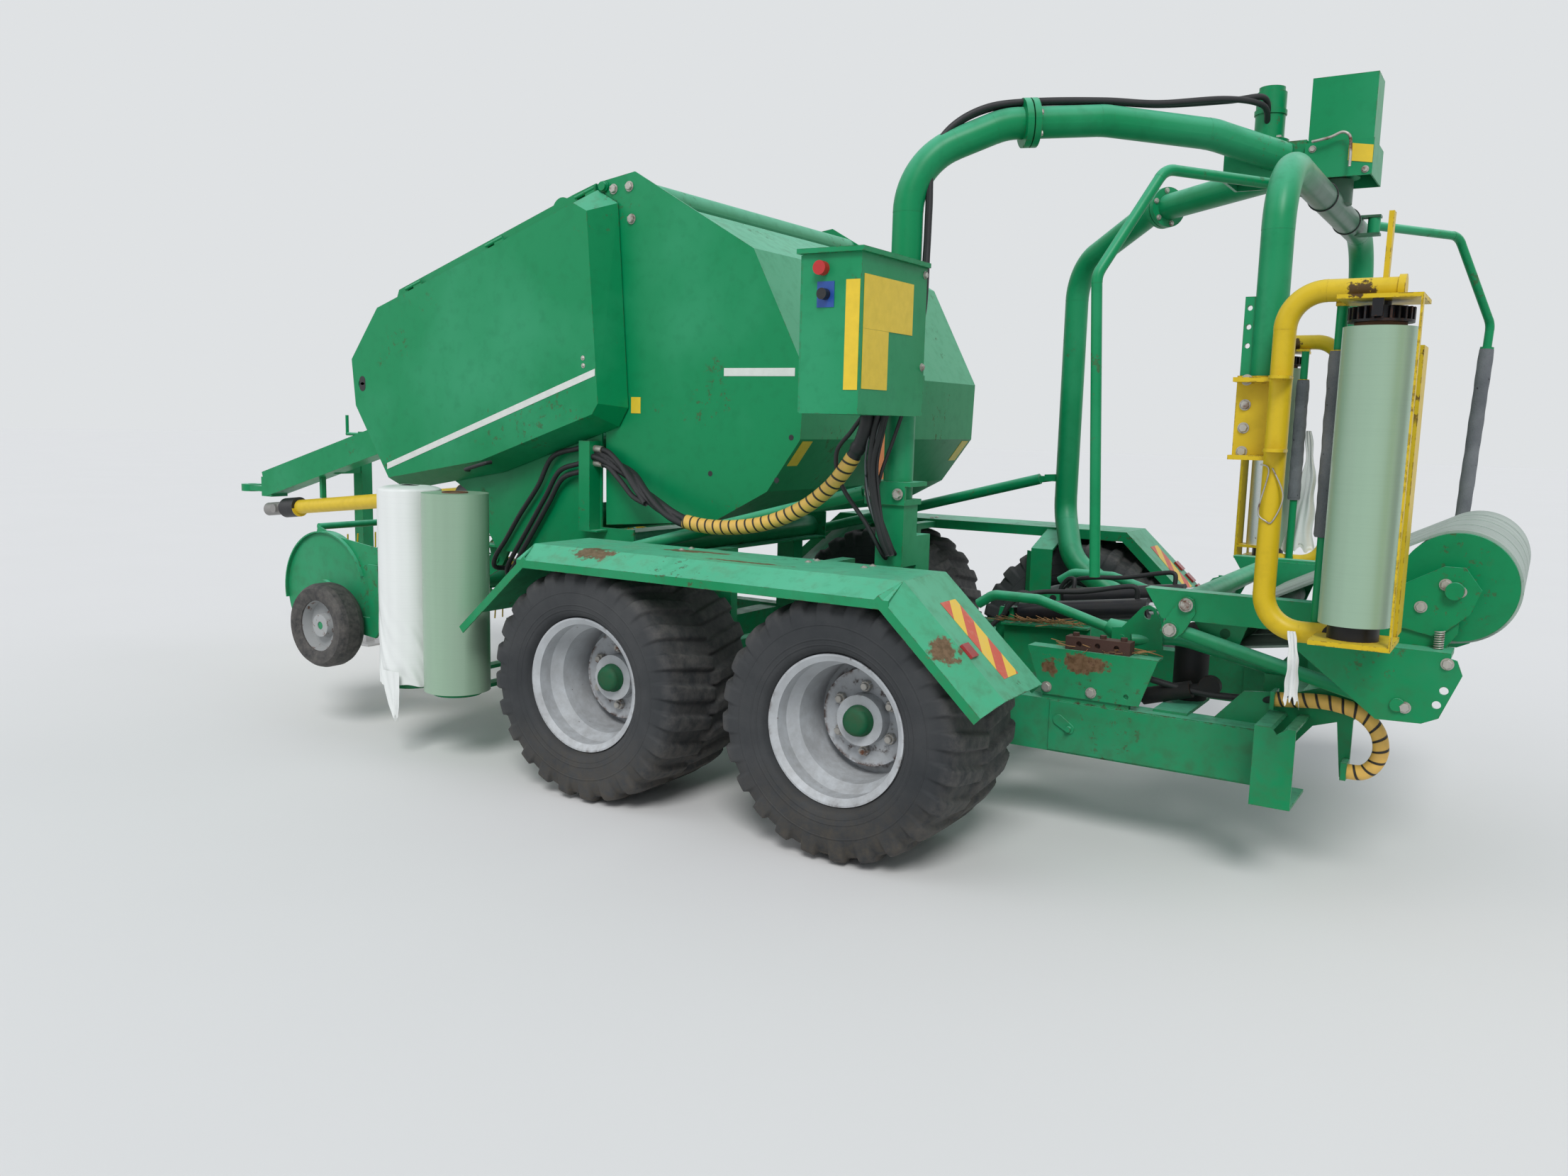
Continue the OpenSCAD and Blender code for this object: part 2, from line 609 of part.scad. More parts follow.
module arches() color(paint) place() {
    difference() {
        union() {
            bent_tube(arch_left_path, arch_d, 230);
            bent_tube(arch_right_path, arch_d, 190);
        }
        // Both tubes end on the head's walls
        block([1200, -head_w, head_z - 40], [1500, head_w, head_z + head_h + 60]);
    }
    // Square post below the left arch: it steps inwards above the tyre and stands on the rail
    block([arch_x - 49, -arch_y - 49, post_z], [arch_x + 49, -arch_y + 49, 1062]);
    block([arch_x - 49, -arch_y - 49, post_z], [arch_x + 49, -post_y + 48, post_z + 95]);
    block([arch_x - 49, -post_y - 48, arm_z], [arch_x + 49, -post_y + 48, post_z + 95]);
    block([arch_x - 49, -post_y - 48, arm_z], [arch_x + 49, -rail_y + rail_w / 2, arm_z + 70]);
    block([arch_x - 49, -rail_y - rail_w / 2, rail_top], [arch_x + 49, -rail_y + rail_w / 2, arm_z + 10]);
    block([arch_x - 88, -arch_y - 60, 1062], [arch_x + 56, -arch_y + 60, 1080]);
    block([arch_x - 88, -arch_y - 60, 1122], [arch_x + 74, -arch_y + 60, 1136]);
    block([arch_x - 88, -arch_y - 60, 1070], [arch_x + 56, -arch_y - 50, 1130]);
    for (x = [arch_x - 66, arch_x + 34]) across(13, 24, x, -arch_y - 66, 1098, 24);
    // Foot plate and gusset of the right arch
    block([830, rail_y + rail_w / 2, rail_mid], [960, rail_y + rail_w / 2 + 14, 650]);
    block([850, rail_y + rail_w / 2 + 5, 590], [915, post_y + 4, 606]);
    // Lugs of the braces
    for (s = [-1, 1]) slab(s * arch_y, 12)
        polygon([[arch_x - 100, brace_z - 12], [arch_x - 40, brace_z - 12], [arch_x - 40, brace_z + 20],
            [arch_x - 100, brace_z + 16]]);
    // Bolted collars half way over
    collar(arch_left_path[2], arch_left_path[3]);
    collar(arch_right_path[5], arch_right_path[6]);
}

module post_braces() color(paint) place() {
    both_sides() {
        a = [-790, arch_y - 2, 796];
        b = [arch_x - 120, arch_y - 2, brace_z - 4];
        rod(a, b, 46);
        block([-850, chamber_y, 765], [-770, chamber_y + 96, 836]);
        // Flat end bolted to the post's lug
        slab(arch_y + 10, 8) polygon([[b[0] - 30, b[2] - 22], [arch_x - 66, b[2] - 8],
            [arch_x - 66, b[2] + 14], [b[0] - 30, b[2] + 12]]);
    }
}

module head_plate() color(paint) place() difference() {
    union() {
        block([1230, -head_w, head_z], [hub_x - 72, head_w, head_z + head_h]);
        translate([hub_x, 0, head_z]) cylinder(h = head_h - 20, r = 78);
        block([hub_x - 80, -60, head_z], [hub_x, 60, head_z + head_h - 20]);
    }
    block([1240, -head_w + 10, head_z - 5], [hub_x - 90, head_w - 10, head_z + head_h - 12]);
    translate([hub_x, 0, head_z - 5]) cylinder(h = 75, r = 40.1);
}

module head_motor() color(paint) place() {
    translate([1345, 0, head_z + head_h]) {
        cylinder(h = 26, r = 62);
        cylinder(h = 175, r = 46);
        translate([0, 0, 105]) cylinder(h = 14, r = 50);
        translate([0, 0, 175]) cylinder(h = 16, r = 40);
    }
}

module head_hood() color(paint) place() {
    z0 = head_z + head_h - 20;
    difference() {
        block([hub_x - 72, -68, z0], [hub_x + 116, 68, 2418]);
        block([hub_x - 69, -65, z0 - 5], [hub_x + 113, 65, 2415]);
    }
    // Wider lower half around the bearing, open below
    difference() {
        block([hub_x - 72, -112, head_z - 14], [hub_x + 124, 112, z0 + 4]);
        block([hub_x - 90, -108, head_z - 20], [hub_x + 120, 108, z0]);
        block([hub_x - 66, -62, z0 - 10], [hub_x + 110, 62, z0 + 10]);
    }
}

// Control box

box_lo = [362, -1268, 1342];
box_hi = [556, -856, 1790];

module control_box() color(paint) place() {
    difference() {
        union() {
            block(box_lo, box_hi);
            // Lid that overhangs the walls
            block([box_lo[0] - 12, box_lo[1] - 14, box_hi[2]], [box_hi[0] + 12, box_hi[1], box_hi[2] + 14]);
        }
        block(box_lo + [-10, 10, 8], box_hi - [6, 10, 10]);
    }
    // Saddle brackets around the left arch's leg
    for (z = [1420, 1700]) difference() {
        block([arch_x - 70, box_hi[1], z], [arch_x + 70, -arch_y + 20, z + 50]);
        translate([arch_x, -arch_y, z - 5]) cylinder(h = 60, d = arch_d + 0.2, $fn = 32);
    }
}

module control_door() color(paint) place()
    block([box_lo[0] - 6.3, box_lo[1] + 3, box_lo[2] + 3], [box_lo[0] - 0.3, box_hi[1] - 3, box_hi[2] - 3]);

module control_knobs() place() {
    y = box_lo[1];
    color("firebrick") translate([432, y, 1748]) rotate([90, 0, 0]) cylinder(h = 26, r = 20);
    color("royalblue") block([414, y - 2, 1640], [470, y, 1712]);
    color(black) translate([442, y - 2, 1676]) rotate([90, 0, 0]) cylinder(h = 24, r = 16);
}

// Spare film

rack_x = [-1440, -1190];
stored_r = 122;
stored_z = 285;

module film_rack() color(paint) place() {
    // Arm from the rail, plate and pegs
    for (x = rack_x) {
        block([x - 25, -1160, stored_z - 15], [x + 25, -rail_y - 40, stored_z]);
        translate([x, -1160, stored_z - 15]) cylinder(h = 15, r = 90);
        translate([x, -1160, stored_z - 1]) cylinder(h = 640, r = 20);
    }
    block([rack_x[0] - 25, -rail_y - 46, stored_z - 15], [rack_x[1] + 25, -rail_y - 40, rail_top - 30]);
}

module stored_roll(x, r) difference() {
    translate([x, -1160, stored_z]) cylinder(h = film_w + 16, r = r);
    translate([x, -1160, stored_z - 5]) cylinder(h = film_w + 40, r = 38);
}

module stored_roll_new() color(film) place() stored_roll(rack_x[1], stored_r);
module stored_roll_bagged() color("whitesmoke") place() stored_roll(rack_x[0], stored_r - 2);

module valve_block() color([0.28, 0.18, 0.14]) place() {
    z = bracket_top + 5;
    difference() {
        block([966, -rail_y - 34, z], [1172, -rail_y + 16, z + 42]);
        // Ports on its front face
        for (x = [1010, 1070, 1130]) across(9, 30, x, -rail_y - 34, z + 20, 24);
    }
    for (x = [992, 1080, 1146]) translate([x, -rail_y - 10, z + 42]) cylinder(h = 11, r = 11, $fn = 6);
    // Oil filter on the shelf, and the small cylinder that lies beside it
    translate([1298, -330, rail_top + 8]) {
        cylinder(h = 190, r = 54);
        cylinder(h = 222, r = 27);
        translate([0, 0, 222]) sphere(r = 27);
    }
    rod([1180, -440, 469], [1330, -440, 514], 54, 32, 17);
    rod([1320, -440, 511], [1385, -440, 530.5], 30);
    across(33, 30, 1385, -440, 530.5);
}

module side_bracket() color(paint) place() mirror([0, 1, 0]) {
    y = rail_y + rail_w / 2;
    slab(y + 2.5, 5) difference() {
        polygon([[846, bracket_top], [1262, bracket_top], [1212, rail_top + 16], [900, rail_top + 16]]);
        translate([1172, rail_top + 42]) circle(r = 8, $fn = 24);
    }
    block([846, y - 60, bracket_top], [1262, y + 5, bracket_top + 5]);
    block([900, y - 24, rail_top], [1180, y - 4, bracket_top + 1]);
    // Bolts through the plate
    for (x = [916, 1062]) across(10, 12, x, y + 9, rail_top + 40, 24);
}

// Wheels

// A tyre around z: carcass with rounded shoulders, and slanting lugs cut off at the tip radius
module tyre(r, w, bead_r, lugs, h) {
    tread_r = r - h;
    hw = w / 2;
    bead = rim_w / 2 - 20.5;
    carcass = [[bead_r, -bead], [rim_r + 0.4, -bead - 10], [bead_r + 30, -hw * 0.94],
        [bead_r + 85, -hw], [bead_r + 125, -hw * 0.985], [tread_r - 14, -hw * 0.90],
        [tread_r - 3, -hw * 0.78], [tread_r, -hw * 0.5], [tread_r, hw * 0.5],
        [tread_r - 3, hw * 0.78], [tread_r - 14, hw * 0.90], [bead_r + 125, hw * 0.985], [bead_r + 85, hw],
        [bead_r + 30, hw * 0.94], [rim_r + 0.4, bead + 10], [bead_r, bead]];
    envelope = [[tread_r - 40, -hw * 0.99], [tread_r - 16, -hw * 0.985], [r - 16, -hw * 0.93],
        [r - 4, -hw * 0.80], [r, -hw * 0.55], [r, hw * 0.55], [r - 4, hw * 0.80], [r - 16, hw * 0.93],
        [tread_r - 16, hw * 0.985], [tread_r - 40, hw * 0.99]];
    pitch = 360 / lugs;
    // One lug in the plane of the tread, from near the middle to the shoulder
    lug = [[-34, -10], [10, -10], [62, hw], [12, hw]];
    union() {
        rotate_extrude($fn = 96) polygon(carcass);
        intersection() {
            rotate_extrude($fn = 96) polygon(envelope);
            union() for (i = [0:lugs - 1]) {
                rotate([0, 0, i * pitch]) translate([tread_r - 38, 0, 0]) rotate([90, 0, 90])
                    linear_extrude(80) polygon(lug);
                rotate([0, 0, (i + 0.5) * pitch]) translate([tread_r - 38, 0, 0]) rotate([90, 0, 90])
                    linear_extrude(80) mirror([0, 1, 0]) polygon(lug);
            }
        }
    }
}

// A dished rim around z with its hub; its outer lip looks towards +z
module rim() {
    hw = rim_w / 2;
    seat = rim_r - 17;
    wall = 7;
    disc_z = -hw + 170;
    profile = [[rim_r, hw], [rim_r, hw - 10], [seat, hw - 20], [seat, hw - 70], [seat - 22, hw - 110],
        [seat - 22, -hw + 110], [seat, -hw + 70], [seat, -hw + 20], [rim_r, -hw + 10], [rim_r, -hw],
        [rim_r - 6, -hw], [seat - wall, -hw + 14], [seat - wall, -hw + 66], [seat - 22 - wall, -hw + 108],
        [seat - 22 - wall, disc_z - 14], [150, disc_z], [150 - 4, disc_z + 40], [60, disc_z + 42],
        [60, disc_z + 54], [150 + 4, disc_z + 54], [160, disc_z + 12], [seat - 22 - wall, disc_z + 2],
        [seat - 22 - wall, hw - 108], [seat - wall, hw - 66], [seat - wall, hw - 14], [rim_r - 6, hw]];
    difference() {
        rotate_extrude($fn = 96) polygon(profile);
        translate([0, 0, disc_z]) cylinder(h = 90, r = hub_bore_r);
        // Vent hole in the outer dish
        translate([178, 0, disc_z - 40]) cylinder(h = 110, r = 14);
    }
    // Hub barrel and flange behind the disc, cap, studs and nuts
    difference() {
        union() {
            translate([0, 0, disc_z - 110]) cylinder(h = 130, r = 68);
            translate([0, 0, disc_z + 12]) cylinder(h = 30, r = hub_bore_r + 48);
            translate([0, 0, disc_z + 30]) cylinder(h = 72, r = hub_bore_r - 0.5);
            translate([0, 0, disc_z + 96]) cylinder(h = 34, r = 42);
        }
        translate([0, 0, disc_z - 120]) cylinder(h = 140, r = stub_r + 0.1);
    }
    for (i = [0:5]) rotate([0, 0, i * 60 + 30]) translate([stud_circle_r, 0, disc_z + 38]) {
        cylinder(h = 44, r = 11, $fn = 24);
        translate([0, 0, 14]) cylinder(h = 20, r = 17, $fn = 6);
    }
}

// Places a wheel piece: s is -1 for the left side, e is -1 for the front axle
module at_wheel(e, s) place() translate([e * axle_x, s * wheel_y, axle_z]) rotate([s > 0 ? -90 : 90, 0, 0])
    children();

module wheel_tyre(e, s) color(black) at_wheel(e, s) tyre(tyre_r, tyre_w, rim_r - 16.9, lug_count, lug_h);
module wheel_rim(e, s) color(silver) at_wheel(e, s) rim();

module tyre_front_left() wheel_tyre(-1, -1);
module tyre_rear_left() wheel_tyre(1, -1);
module tyre_front_right() wheel_tyre(-1, 1);
module tyre_rear_right() wheel_tyre(1, 1);
module rim_front_left() wheel_rim(-1, -1);
module rim_rear_left() wheel_rim(1, -1);
module rim_front_right() wheel_rim(-1, 1);
module rim_rear_right() wheel_rim(1, 1);

// Pick-up

pickup_pivot = [-1480, 0, 715];

module pickup_frame() color(paint) place() {
    both_sides() {
        // Side plate with its round front
        difference() {
            union() {
                across(255, 6, -reel_x, pickup_y, reel_z, 96);
                slab(pickup_y, 6) polygon([[-reel_x + 40, reel_z - 200], [-1700, 500], [-1640, 560], [-1640, 640],
                    [-1760, 770], [-reel_x + 60, reel_z + 240]]);
            }
            across(34, 20, -reel_x, pickup_y, reel_z);
        }
        // Rim of the guard, bent over the reel
        translate([-reel_x, pickup_y + 18, reel_z]) rotate([90, 0, 0]) rotate([0, 0, 20])
            rotate_extrude(angle = 170, $fn = 96) translate([250, 0]) square([6, 40]);
        // Bearing of the reel and the gauge wheel's arm
        difference() {
            across(52, 18, -reel_x, pickup_y + 12, reel_z);
            across(20.1, 30, -reel_x, pickup_y + 12, reel_z);
        }
        slab(pickup_y + 9, 12) polygon([[-1800, 700], [-1740, 700], [-1720, 450], [-1760, 400], [-1990, 420],
            [-1990, 480], [-1790, 480]]);
        across(16, 120, gauge_x, pickup_y + 15 + 60, gauge_z);
        // Hinge arm at the chamber
        slab(640, 12) difference() {
            polygon([[-1560, 630], [-1700, 560], [-1700, 640], [-1510, 744], [-1450, 744], [-1450, 690]]);
            translate([pickup_pivot[0], pickup_pivot[2]]) circle(r = 14.1);
        }
    }
    // Cross tube, floor and crop press rod
    across(45, 2 * pickup_y, -1690, 0, 600);
    block([-1800, -pickup_y, 560], [-1660, pickup_y, 567]);
    across(14, 2 * pickup_y, -2120, 0, reel_z + 272);
    both_sides() beam([-2128, pickup_y, reel_z + 262], [-1990, pickup_y, reel_z + 215], 6, 30);
    // Stripper bands between the tines
    step = 2 * (pickup_y - 60) / reel_tines;
    for (i = [0:reel_tines - 2]) {
        y = -pickup_y + 60 + (i + 1) * step;
        translate([-reel_x, y + 9, reel_z]) rotate([90, 0, 0]) rotate([0, 0, 40])
            rotate_extrude(angle = 280, $fn = 96) translate([176, 0]) square([4, 18]);
        beam([-reel_x + 134, y, reel_z + 115], [-1690, y, reel_z + 82], 15, 4);
        beam([-reel_x + 134, y, reel_z - 117], [-1690, y, reel_z], 15, 4);
    }
}

module pickup_reel() color([0.75, 0.62, 0.1]) place() {
    across(20, 2 * pickup_y + 40, -reel_x, 0, reel_z);
    step = 2 * (pickup_y - 60) / reel_tines;
    for (y = [-pickup_y + 40, 0, pickup_y - 40])
        across(y == 0 ? 60 : 150, 10, -reel_x, y, reel_z);
    for (b = [0:reel_bars - 1]) translate([-reel_x, 0, reel_z]) rotate([0, b * 360 / reel_bars, 0]) {
        across(12, 2 * (pickup_y - 36), 130, 0, 0);
        for (i = [0:reel_tines - 1]) {
            y = -pickup_y + 60 + (i + 0.5) * step;
            for (k = [-1, 1]) rod([130, y + k * 22, 0], [reel_r - 2, y + k * 26, -8], 7, 16);
        }
    }
}

module gauge_wheel() {
    hw = gauge_w / 2;
    rotate_extrude($fn = 64) polygon([[16.1, -30], [46, -30], [52, -12], [96, -12], [104, -hw + 12],
        [126, -hw + 4], [154, -hw], [gauge_r - 6, -hw + 16], [gauge_r, -hw + 34], [gauge_r, hw - 34],
        [gauge_r - 6, hw - 16], [154, hw], [126, hw - 4], [104, hw - 12], [96, 0], [52, 0], [46, 34],
        [16.1, 34]]);
}

module at_gauge(s) place() translate([gauge_x, s * (pickup_y + 104), gauge_z]) rotate([s > 0 ? -90 : 90, 0, 0])
    children();
module gauge_wheel_left() color(black) at_gauge(-1) gauge_wheel();
module gauge_wheel_right() color(black) at_gauge(1) gauge_wheel();

// Rotor: everything here is drawn around the rotor's axis with the left dispenser at -y

module at_rotor() translate([bogie_x + hub_x, 0, 0]) children();

module rotor_arm() color(paint) at_rotor() {
    bent_tube([[0, -leg_y, leg_end], [0, -leg_y, beam_z], [0, leg_y, beam_z], [0, leg_y, leg_end]],
        rotor_d, 190);
    translate([0, 0, beam_z]) cylinder(h = head_z - 8 - beam_z, r = 60);
    translate([0, 0, beam_z]) cylinder(h = head_z + 60 - beam_z, r = 40);
    for (s = [-1, 1]) rotate([0, 0, s > 0 ? 180 : 0]) {
        // Bolt plate beside the leg, and the leg's foot
        difference() {
            block([-68, -leg_y - 6, leg_end + 210], [-10, -leg_y + 6, leg_end + 420]);
            for (z = [60, 110, 160]) translate([-55, -leg_y, leg_end + 230 + z]) rotate([90, 0, 0])
                cylinder(h = 40, r = 7, center = true, $fn = 24);
        }
        block([-62, -leg_y - 47, leg_end - 14], [52, -leg_y + 54, leg_end]);
        // Fork and pin of the safety arm
        for (z = [arm_root[2] - 34, arm_root[2] + 26])
            block([arm_root[0] - 22, arm_root[1] - 22, z], [-12, arm_root[1] + 22, z + 8]);
        translate([arm_root[0], arm_root[1], arm_root[2] - 34]) cylinder(h = 68, r = 8);
    }
}

// Yellow frame around one film roll
module dispenser() {
    y = -roll_y + 75;
    top = roll_z + film_w + 99;
    bottom = roll_z - 46;
    rx = roll_x + 20;
    plate = top - frame_d / 2 - 9;
    bent_tube([[roll_x + 30, y, top], [60, y, top], [60, y, bottom], [roll_x + 20, y, bottom]], frame_d, 95);
    // Clamp plates against the rotor's leg
    block([-62, -leg_y - 61, leg_end - 14], [54, -leg_y - 47, leg_end + 208]);
    block([-62, y + 12, leg_end - 14], [46, -leg_y - 61, leg_end - 2]);
    block([-62, y + 12, leg_end + 190], [46, -leg_y - 61, leg_end + 202]);
    block([32, y + 8, leg_end - 2], [46, -leg_y - 61, leg_end + 190]);
    // Round ears on the tube's outer side
    for (z = [leg_end + 10, leg_end + 195]) {
        block([40, y - 58, z], [92, y - 12, z + 8]);
        translate([66, y - 58, z]) cylinder(h = 8, r = 26);
    }
    // Top plate with the roll's hub, brake ring, stop and cone
    block([roll_x - 90, -roll_y - 90, plate], [roll_x + 95, -roll_y + 110, plate + 10]);
    translate([roll_x, -roll_y, roll_z + film_w + 10.3]) {
        cylinder(h = plate - roll_z - film_w - 10, r = 20);
        cylinder(h = 6, r = 74);
        cylinder(h = 38, r = 58);
        for (i = [0:brake_fins - 1]) rotate([0, 0, (i + 0.5) * 360 / brake_fins])
            translate([52, -2.5, 3]) cube([22, 5, 33]);
    }
    block([roll_x - 12, -roll_y - 88, plate - 42], [roll_x + 12, -roll_y - 78, plate + 1]);
    // Fixed collar around the hub, and the upright for threading the film
    translate([roll_x + 25, y, top]) rotate([0, 90, 0]) cylinder(h = 16, r = frame_d / 2 + 6);
    slab_x(roll_x - 6, 12) polygon([[y - 12, top + 10], [y + 14, top + 10], [y + 34, top + 186],
        [y - 4, top + 186]]);
    // Outer strip and bottom plate
    block([roll_x + 90, -roll_y - 90, bottom + 6], [roll_x + 95, -roll_y - 60, plate + 1]);
    block([roll_x - 90, -roll_y - 90, bottom - 4], [roll_x + 95, -roll_y + 110, bottom + 8]);
    translate([roll_x, -roll_y, bottom + 7]) cylinder(h = roll_z - 0.3 - bottom - 7, r = 60);
    // Foam sleeve on its green rod, in front of the roll
    translate([roll_x - 101, -roll_y + 100, bottom + 6]) cylinder(h = plate - bottom - 5, r = 14);
    block([roll_x - 116, -roll_y + 85, bottom - 4], [roll_x - 88, -roll_y + 110, bottom + 8]);
    block([roll_x - 116, -roll_y + 85, plate], [roll_x - 88, -roll_y + 110, plate + 10]);
    translate([roll_x - 101, -roll_y + 100, roll_z + 203]) cylinder(h = film_w - 250, r = 21);
    // Carrier of the stretch roller, with its pins
    for (z = [roll_z + 8, roll_z + film_w - 46])
        block([rx - 50, -roll_y + 100, z], [roll_x + 90, -roll_y + 206, z + 10]);
    block([roll_x + 80, -roll_y + 100, bottom + 8], [roll_x + 90, -roll_y + 206, roll_z + film_w - 36]);
    translate([rx, -roll_y + 156, roll_z + 10]) cylinder(h = film_w - 50, r = 10);
}

module dispenser_left() color(yellow) at_rotor() dispenser();
module dispenser_right() color(yellow) at_rotor() rotate([0, 0, 180]) dispenser();

// A roll of film whose core stands out at the top
module film_roll() translate([roll_x, -roll_y, roll_z]) {
    cylinder(h = film_w, r = roll_r);
    cylinder(h = film_w + 10, r = 57);
}
module film_roll_left() color(film) at_rotor() film_roll();
module film_roll_right() color(film) at_rotor() rotate([0, 0, 180]) film_roll();

module stretch_roller()
    translate([roll_x + 20, -roll_y + 156, roll_z + 18.3]) difference() {
        cylinder(h = film_w - 64.6, r = stretch_r);
        translate([0, 0, -5]) cylinder(h = film_w, r = 10.1);
    }
module stretch_roller_left() color(silver) at_rotor() stretch_roller();
module stretch_roller_right() color(silver) at_rotor() rotate([0, 0, 180]) stretch_roller();

// Safety arm that hangs ahead of a dispenser
arm_root = [-75, -430, 2035];
arm_path = [[-75, -430, 2035], [-310, -790, 2035], [-430, -960, 1735], [-400, -915, 900]];

module safety_arm(foam) {
    difference() {
        union() {
            bent_tube(arm_path, 30, 60);
            translate([arm_root[0], arm_root[1], arm_root[2] - 25.7]) cylinder(h = 51.4, r = 20);
        }
        translate([arm_root[0], arm_root[1], arm_root[2] - 60]) cylinder(h = 120, r = 8.1);
    }
    // Foam sleeve over the hanging part
    a = arm_path[3];
    b = arm_path[2];
    if (foam) rod(a + (b - a) * 0.02, a + (b - a) * 0.90, 46);
}

module safety_arm_left() color(paint) at_rotor() safety_arm(false);
module safety_arm_right() color(paint) at_rotor() rotate([0, 0, 180]) safety_arm(true);

// Tipping table

beam_lo = table_z - 88;
table_front = 1215;

module table_frame() color(paint) place() {
    both_sides() {
        // Side beam with its pointed front
        slab(table_y - 30, 60) polygon([[table_front, table_z], [table_front + 55, beam_lo], [drum_x - 10, beam_lo],
            [drum_x + 15, beam_lo + 40], [drum_x + 15, table_z]]);
        // Drum bearing bracket on the beam's outer face
        slab(table_y + 5, 10) difference() {
            polygon([[1800, table_z - 20], [1800, table_z + 12], [drum_x - 30, drum_z + 62], [drum_x + 20, drum_z + 62],
                [drum_x + 62, drum_z + 5], [drum_x + 40, drum_z - 60], [drum_x - 30, table_z - 60]]);
            translate([drum_x, drum_z]) circle(r = 23.1);
        }
        // Big rear side plate with slot, down to the hinge
        difference() {
            slab(table_y + 76, 10) polygon([[1668, 745], [1990, 756], [2060, 738], [2075, 700], [2030, 580],
                [1990, 560], [1880, 556], [1668, 720]]);
            across(18.1, 40, hinge_x, table_y + 76, hinge_z);
            across(11, 40, 2022, table_y + 76, 615);
            across(11, 40, 2036, table_y + 76, 655);
        }
        block([1700, table_y - 30, beam_lo - 14], [drum_x + 10, table_y + 81, beam_lo]);
        // Link plate that the ram lifts
        slab(ram_y + 19, 10) difference() {
            polygon([[1235, 800], [1330, 800], [1330, 772], [1302, 712], [1248, 712], [1235, 760]]);
            translate(ram_b) circle(r = 14);
        }
        // Plate and pin of the front roller
        slab(table_y - 55 - 5, 10) difference() {
            polygon([[1355, table_z - 10], [1355, beam_lo - 10], [1410, 670], [1480, 670], [1510, beam_lo],
                [1510, table_z - 10]]);
            translate(front_roller) circle(r = 15.1);
        }
    }
    across(32, 2 * (table_y - 50), 1320, 0, table_z - 44);
    across(26, 2 * (table_y - 50), 1700, 0, table_z - 44);
    // Link at the left beam's front, with its two bolts
    slab(-table_y - 4, 8) polygon([[1314, 806], [1330, 826], [1362, 824], [1370, 782], [1339, 722], [1316, 700],
        [1285, 700], [1270, 722], [1282, 752]]);
    for (p = [[1343, 806], [1300, 726]]) {
        across(24, 5, p[0], -table_y - 10, p[1]);
        across(15, 14, p[0], -table_y - 14, p[1], 24);
    }
}

// Belt loops around the rear drum and the front roller
front_roller = [1445, 722];
front_roller_r = 44;

module table_belts() color([0.62, 0.68, 0.63]) place() {
    w = (2 * table_y - 160) / belt_count;
    t = 7;
    for (i = [0:belt_count - 1]) slab(-table_y + 80 + (i + 0.5) * w, w - 18) {
        a = [drum_x, drum_z];
        b = front_roller;
        d = norm(a - b);
        tilt = atan2(a[1] - b[1], a[0] - b[0]);
        spread = asin((drum_r - t - front_roller_r) / d);
        difference() {
            belt_outline(a, drum_r, b, front_roller_r + t, tilt, spread);
            belt_outline(a, drum_r - t, b, front_roller_r, tilt, spread);
        }
    }
}

// Outline of two circles and their outer tangents
module belt_outline(a, ra, b, rb, tilt, spread) {
    translate(a) circle(r = ra, $fn = 96);
    translate(b) circle(r = rb, $fn = 64);
    polygon([for (q = [[a, ra, 1], [b, rb, 1], [b, rb, -1], [a, ra, -1]])
        q[0] + q[1] * [cos(tilt + q[2] * (90 + spread)), sin(tilt + q[2] * (90 + spread))]]);
}

module table_drum() color(paint) place() {
    across(drum_r - 7.3, 2 * (table_y - 70), drum_x, 0, drum_z, 64);
    across(23, 2 * (table_y + 32), drum_x, 0, drum_z);
}

module table_roller() color([0.1, 0.35, 0.2]) place() {
    across(front_roller_r - 0.3, 2 * (table_y - 75), front_roller[0], 0, front_roller[1]);
    across(15, 2 * (table_y - 55), front_roller[0], 0, front_roller[1]);
}

// Table rams: barrel on the chassis, rod eye at the table's link plate
ram_a = [630, 660];
ram_b = [1275, 745];

module ram_barrels() color(black) place() both_sides() {
    y = ram_y;
    u = unit(ram_b - ram_a);
    difference() {
        union() {
            across(28, 24, ram_a[0], y, ram_a[1]);
            beam([ram_a[0], y, ram_a[1]], [ram_a[0] + u[0] * 50, y, ram_a[1] + u[1] * 50], 20, 36);
            rod([ram_a[0] + u[0] * 46, y, ram_a[1] + u[1] * 46],
                [ram_a[0] + u[0] * 500, y, ram_a[1] + u[1] * 500], 70);
        }
        rod([ram_a[0] + u[0] * 90, y, ram_a[1] + u[1] * 90],
            [ram_a[0] + u[0] * 520, y, ram_a[1] + u[1] * 520], 40.2);
    }
    across(13, 54, ram_a[0], y, ram_a[1]);
}

module ram_rods() color(silver) place() both_sides() {
    u = unit(ram_b - ram_a);
    rod([ram_a[0] + u[0] * 120, ram_y, ram_a[1] + u[1] * 120],
        [ram_b[0] - u[0] * 60, ram_y, ram_b[1] - u[1] * 60], 40);
    beam([ram_b[0] - u[0] * 62, ram_y, ram_b[1] - u[1] * 62],
        [ram_b[0] - u[0] * 20, ram_y, ram_b[1] - u[1] * 20], 20, 32);
    difference() {
        across(28, 26, ram_b[0], ram_y, ram_b[1]);
        across(14, 40, ram_b[0], ram_y, ram_b[1]);
    }
}

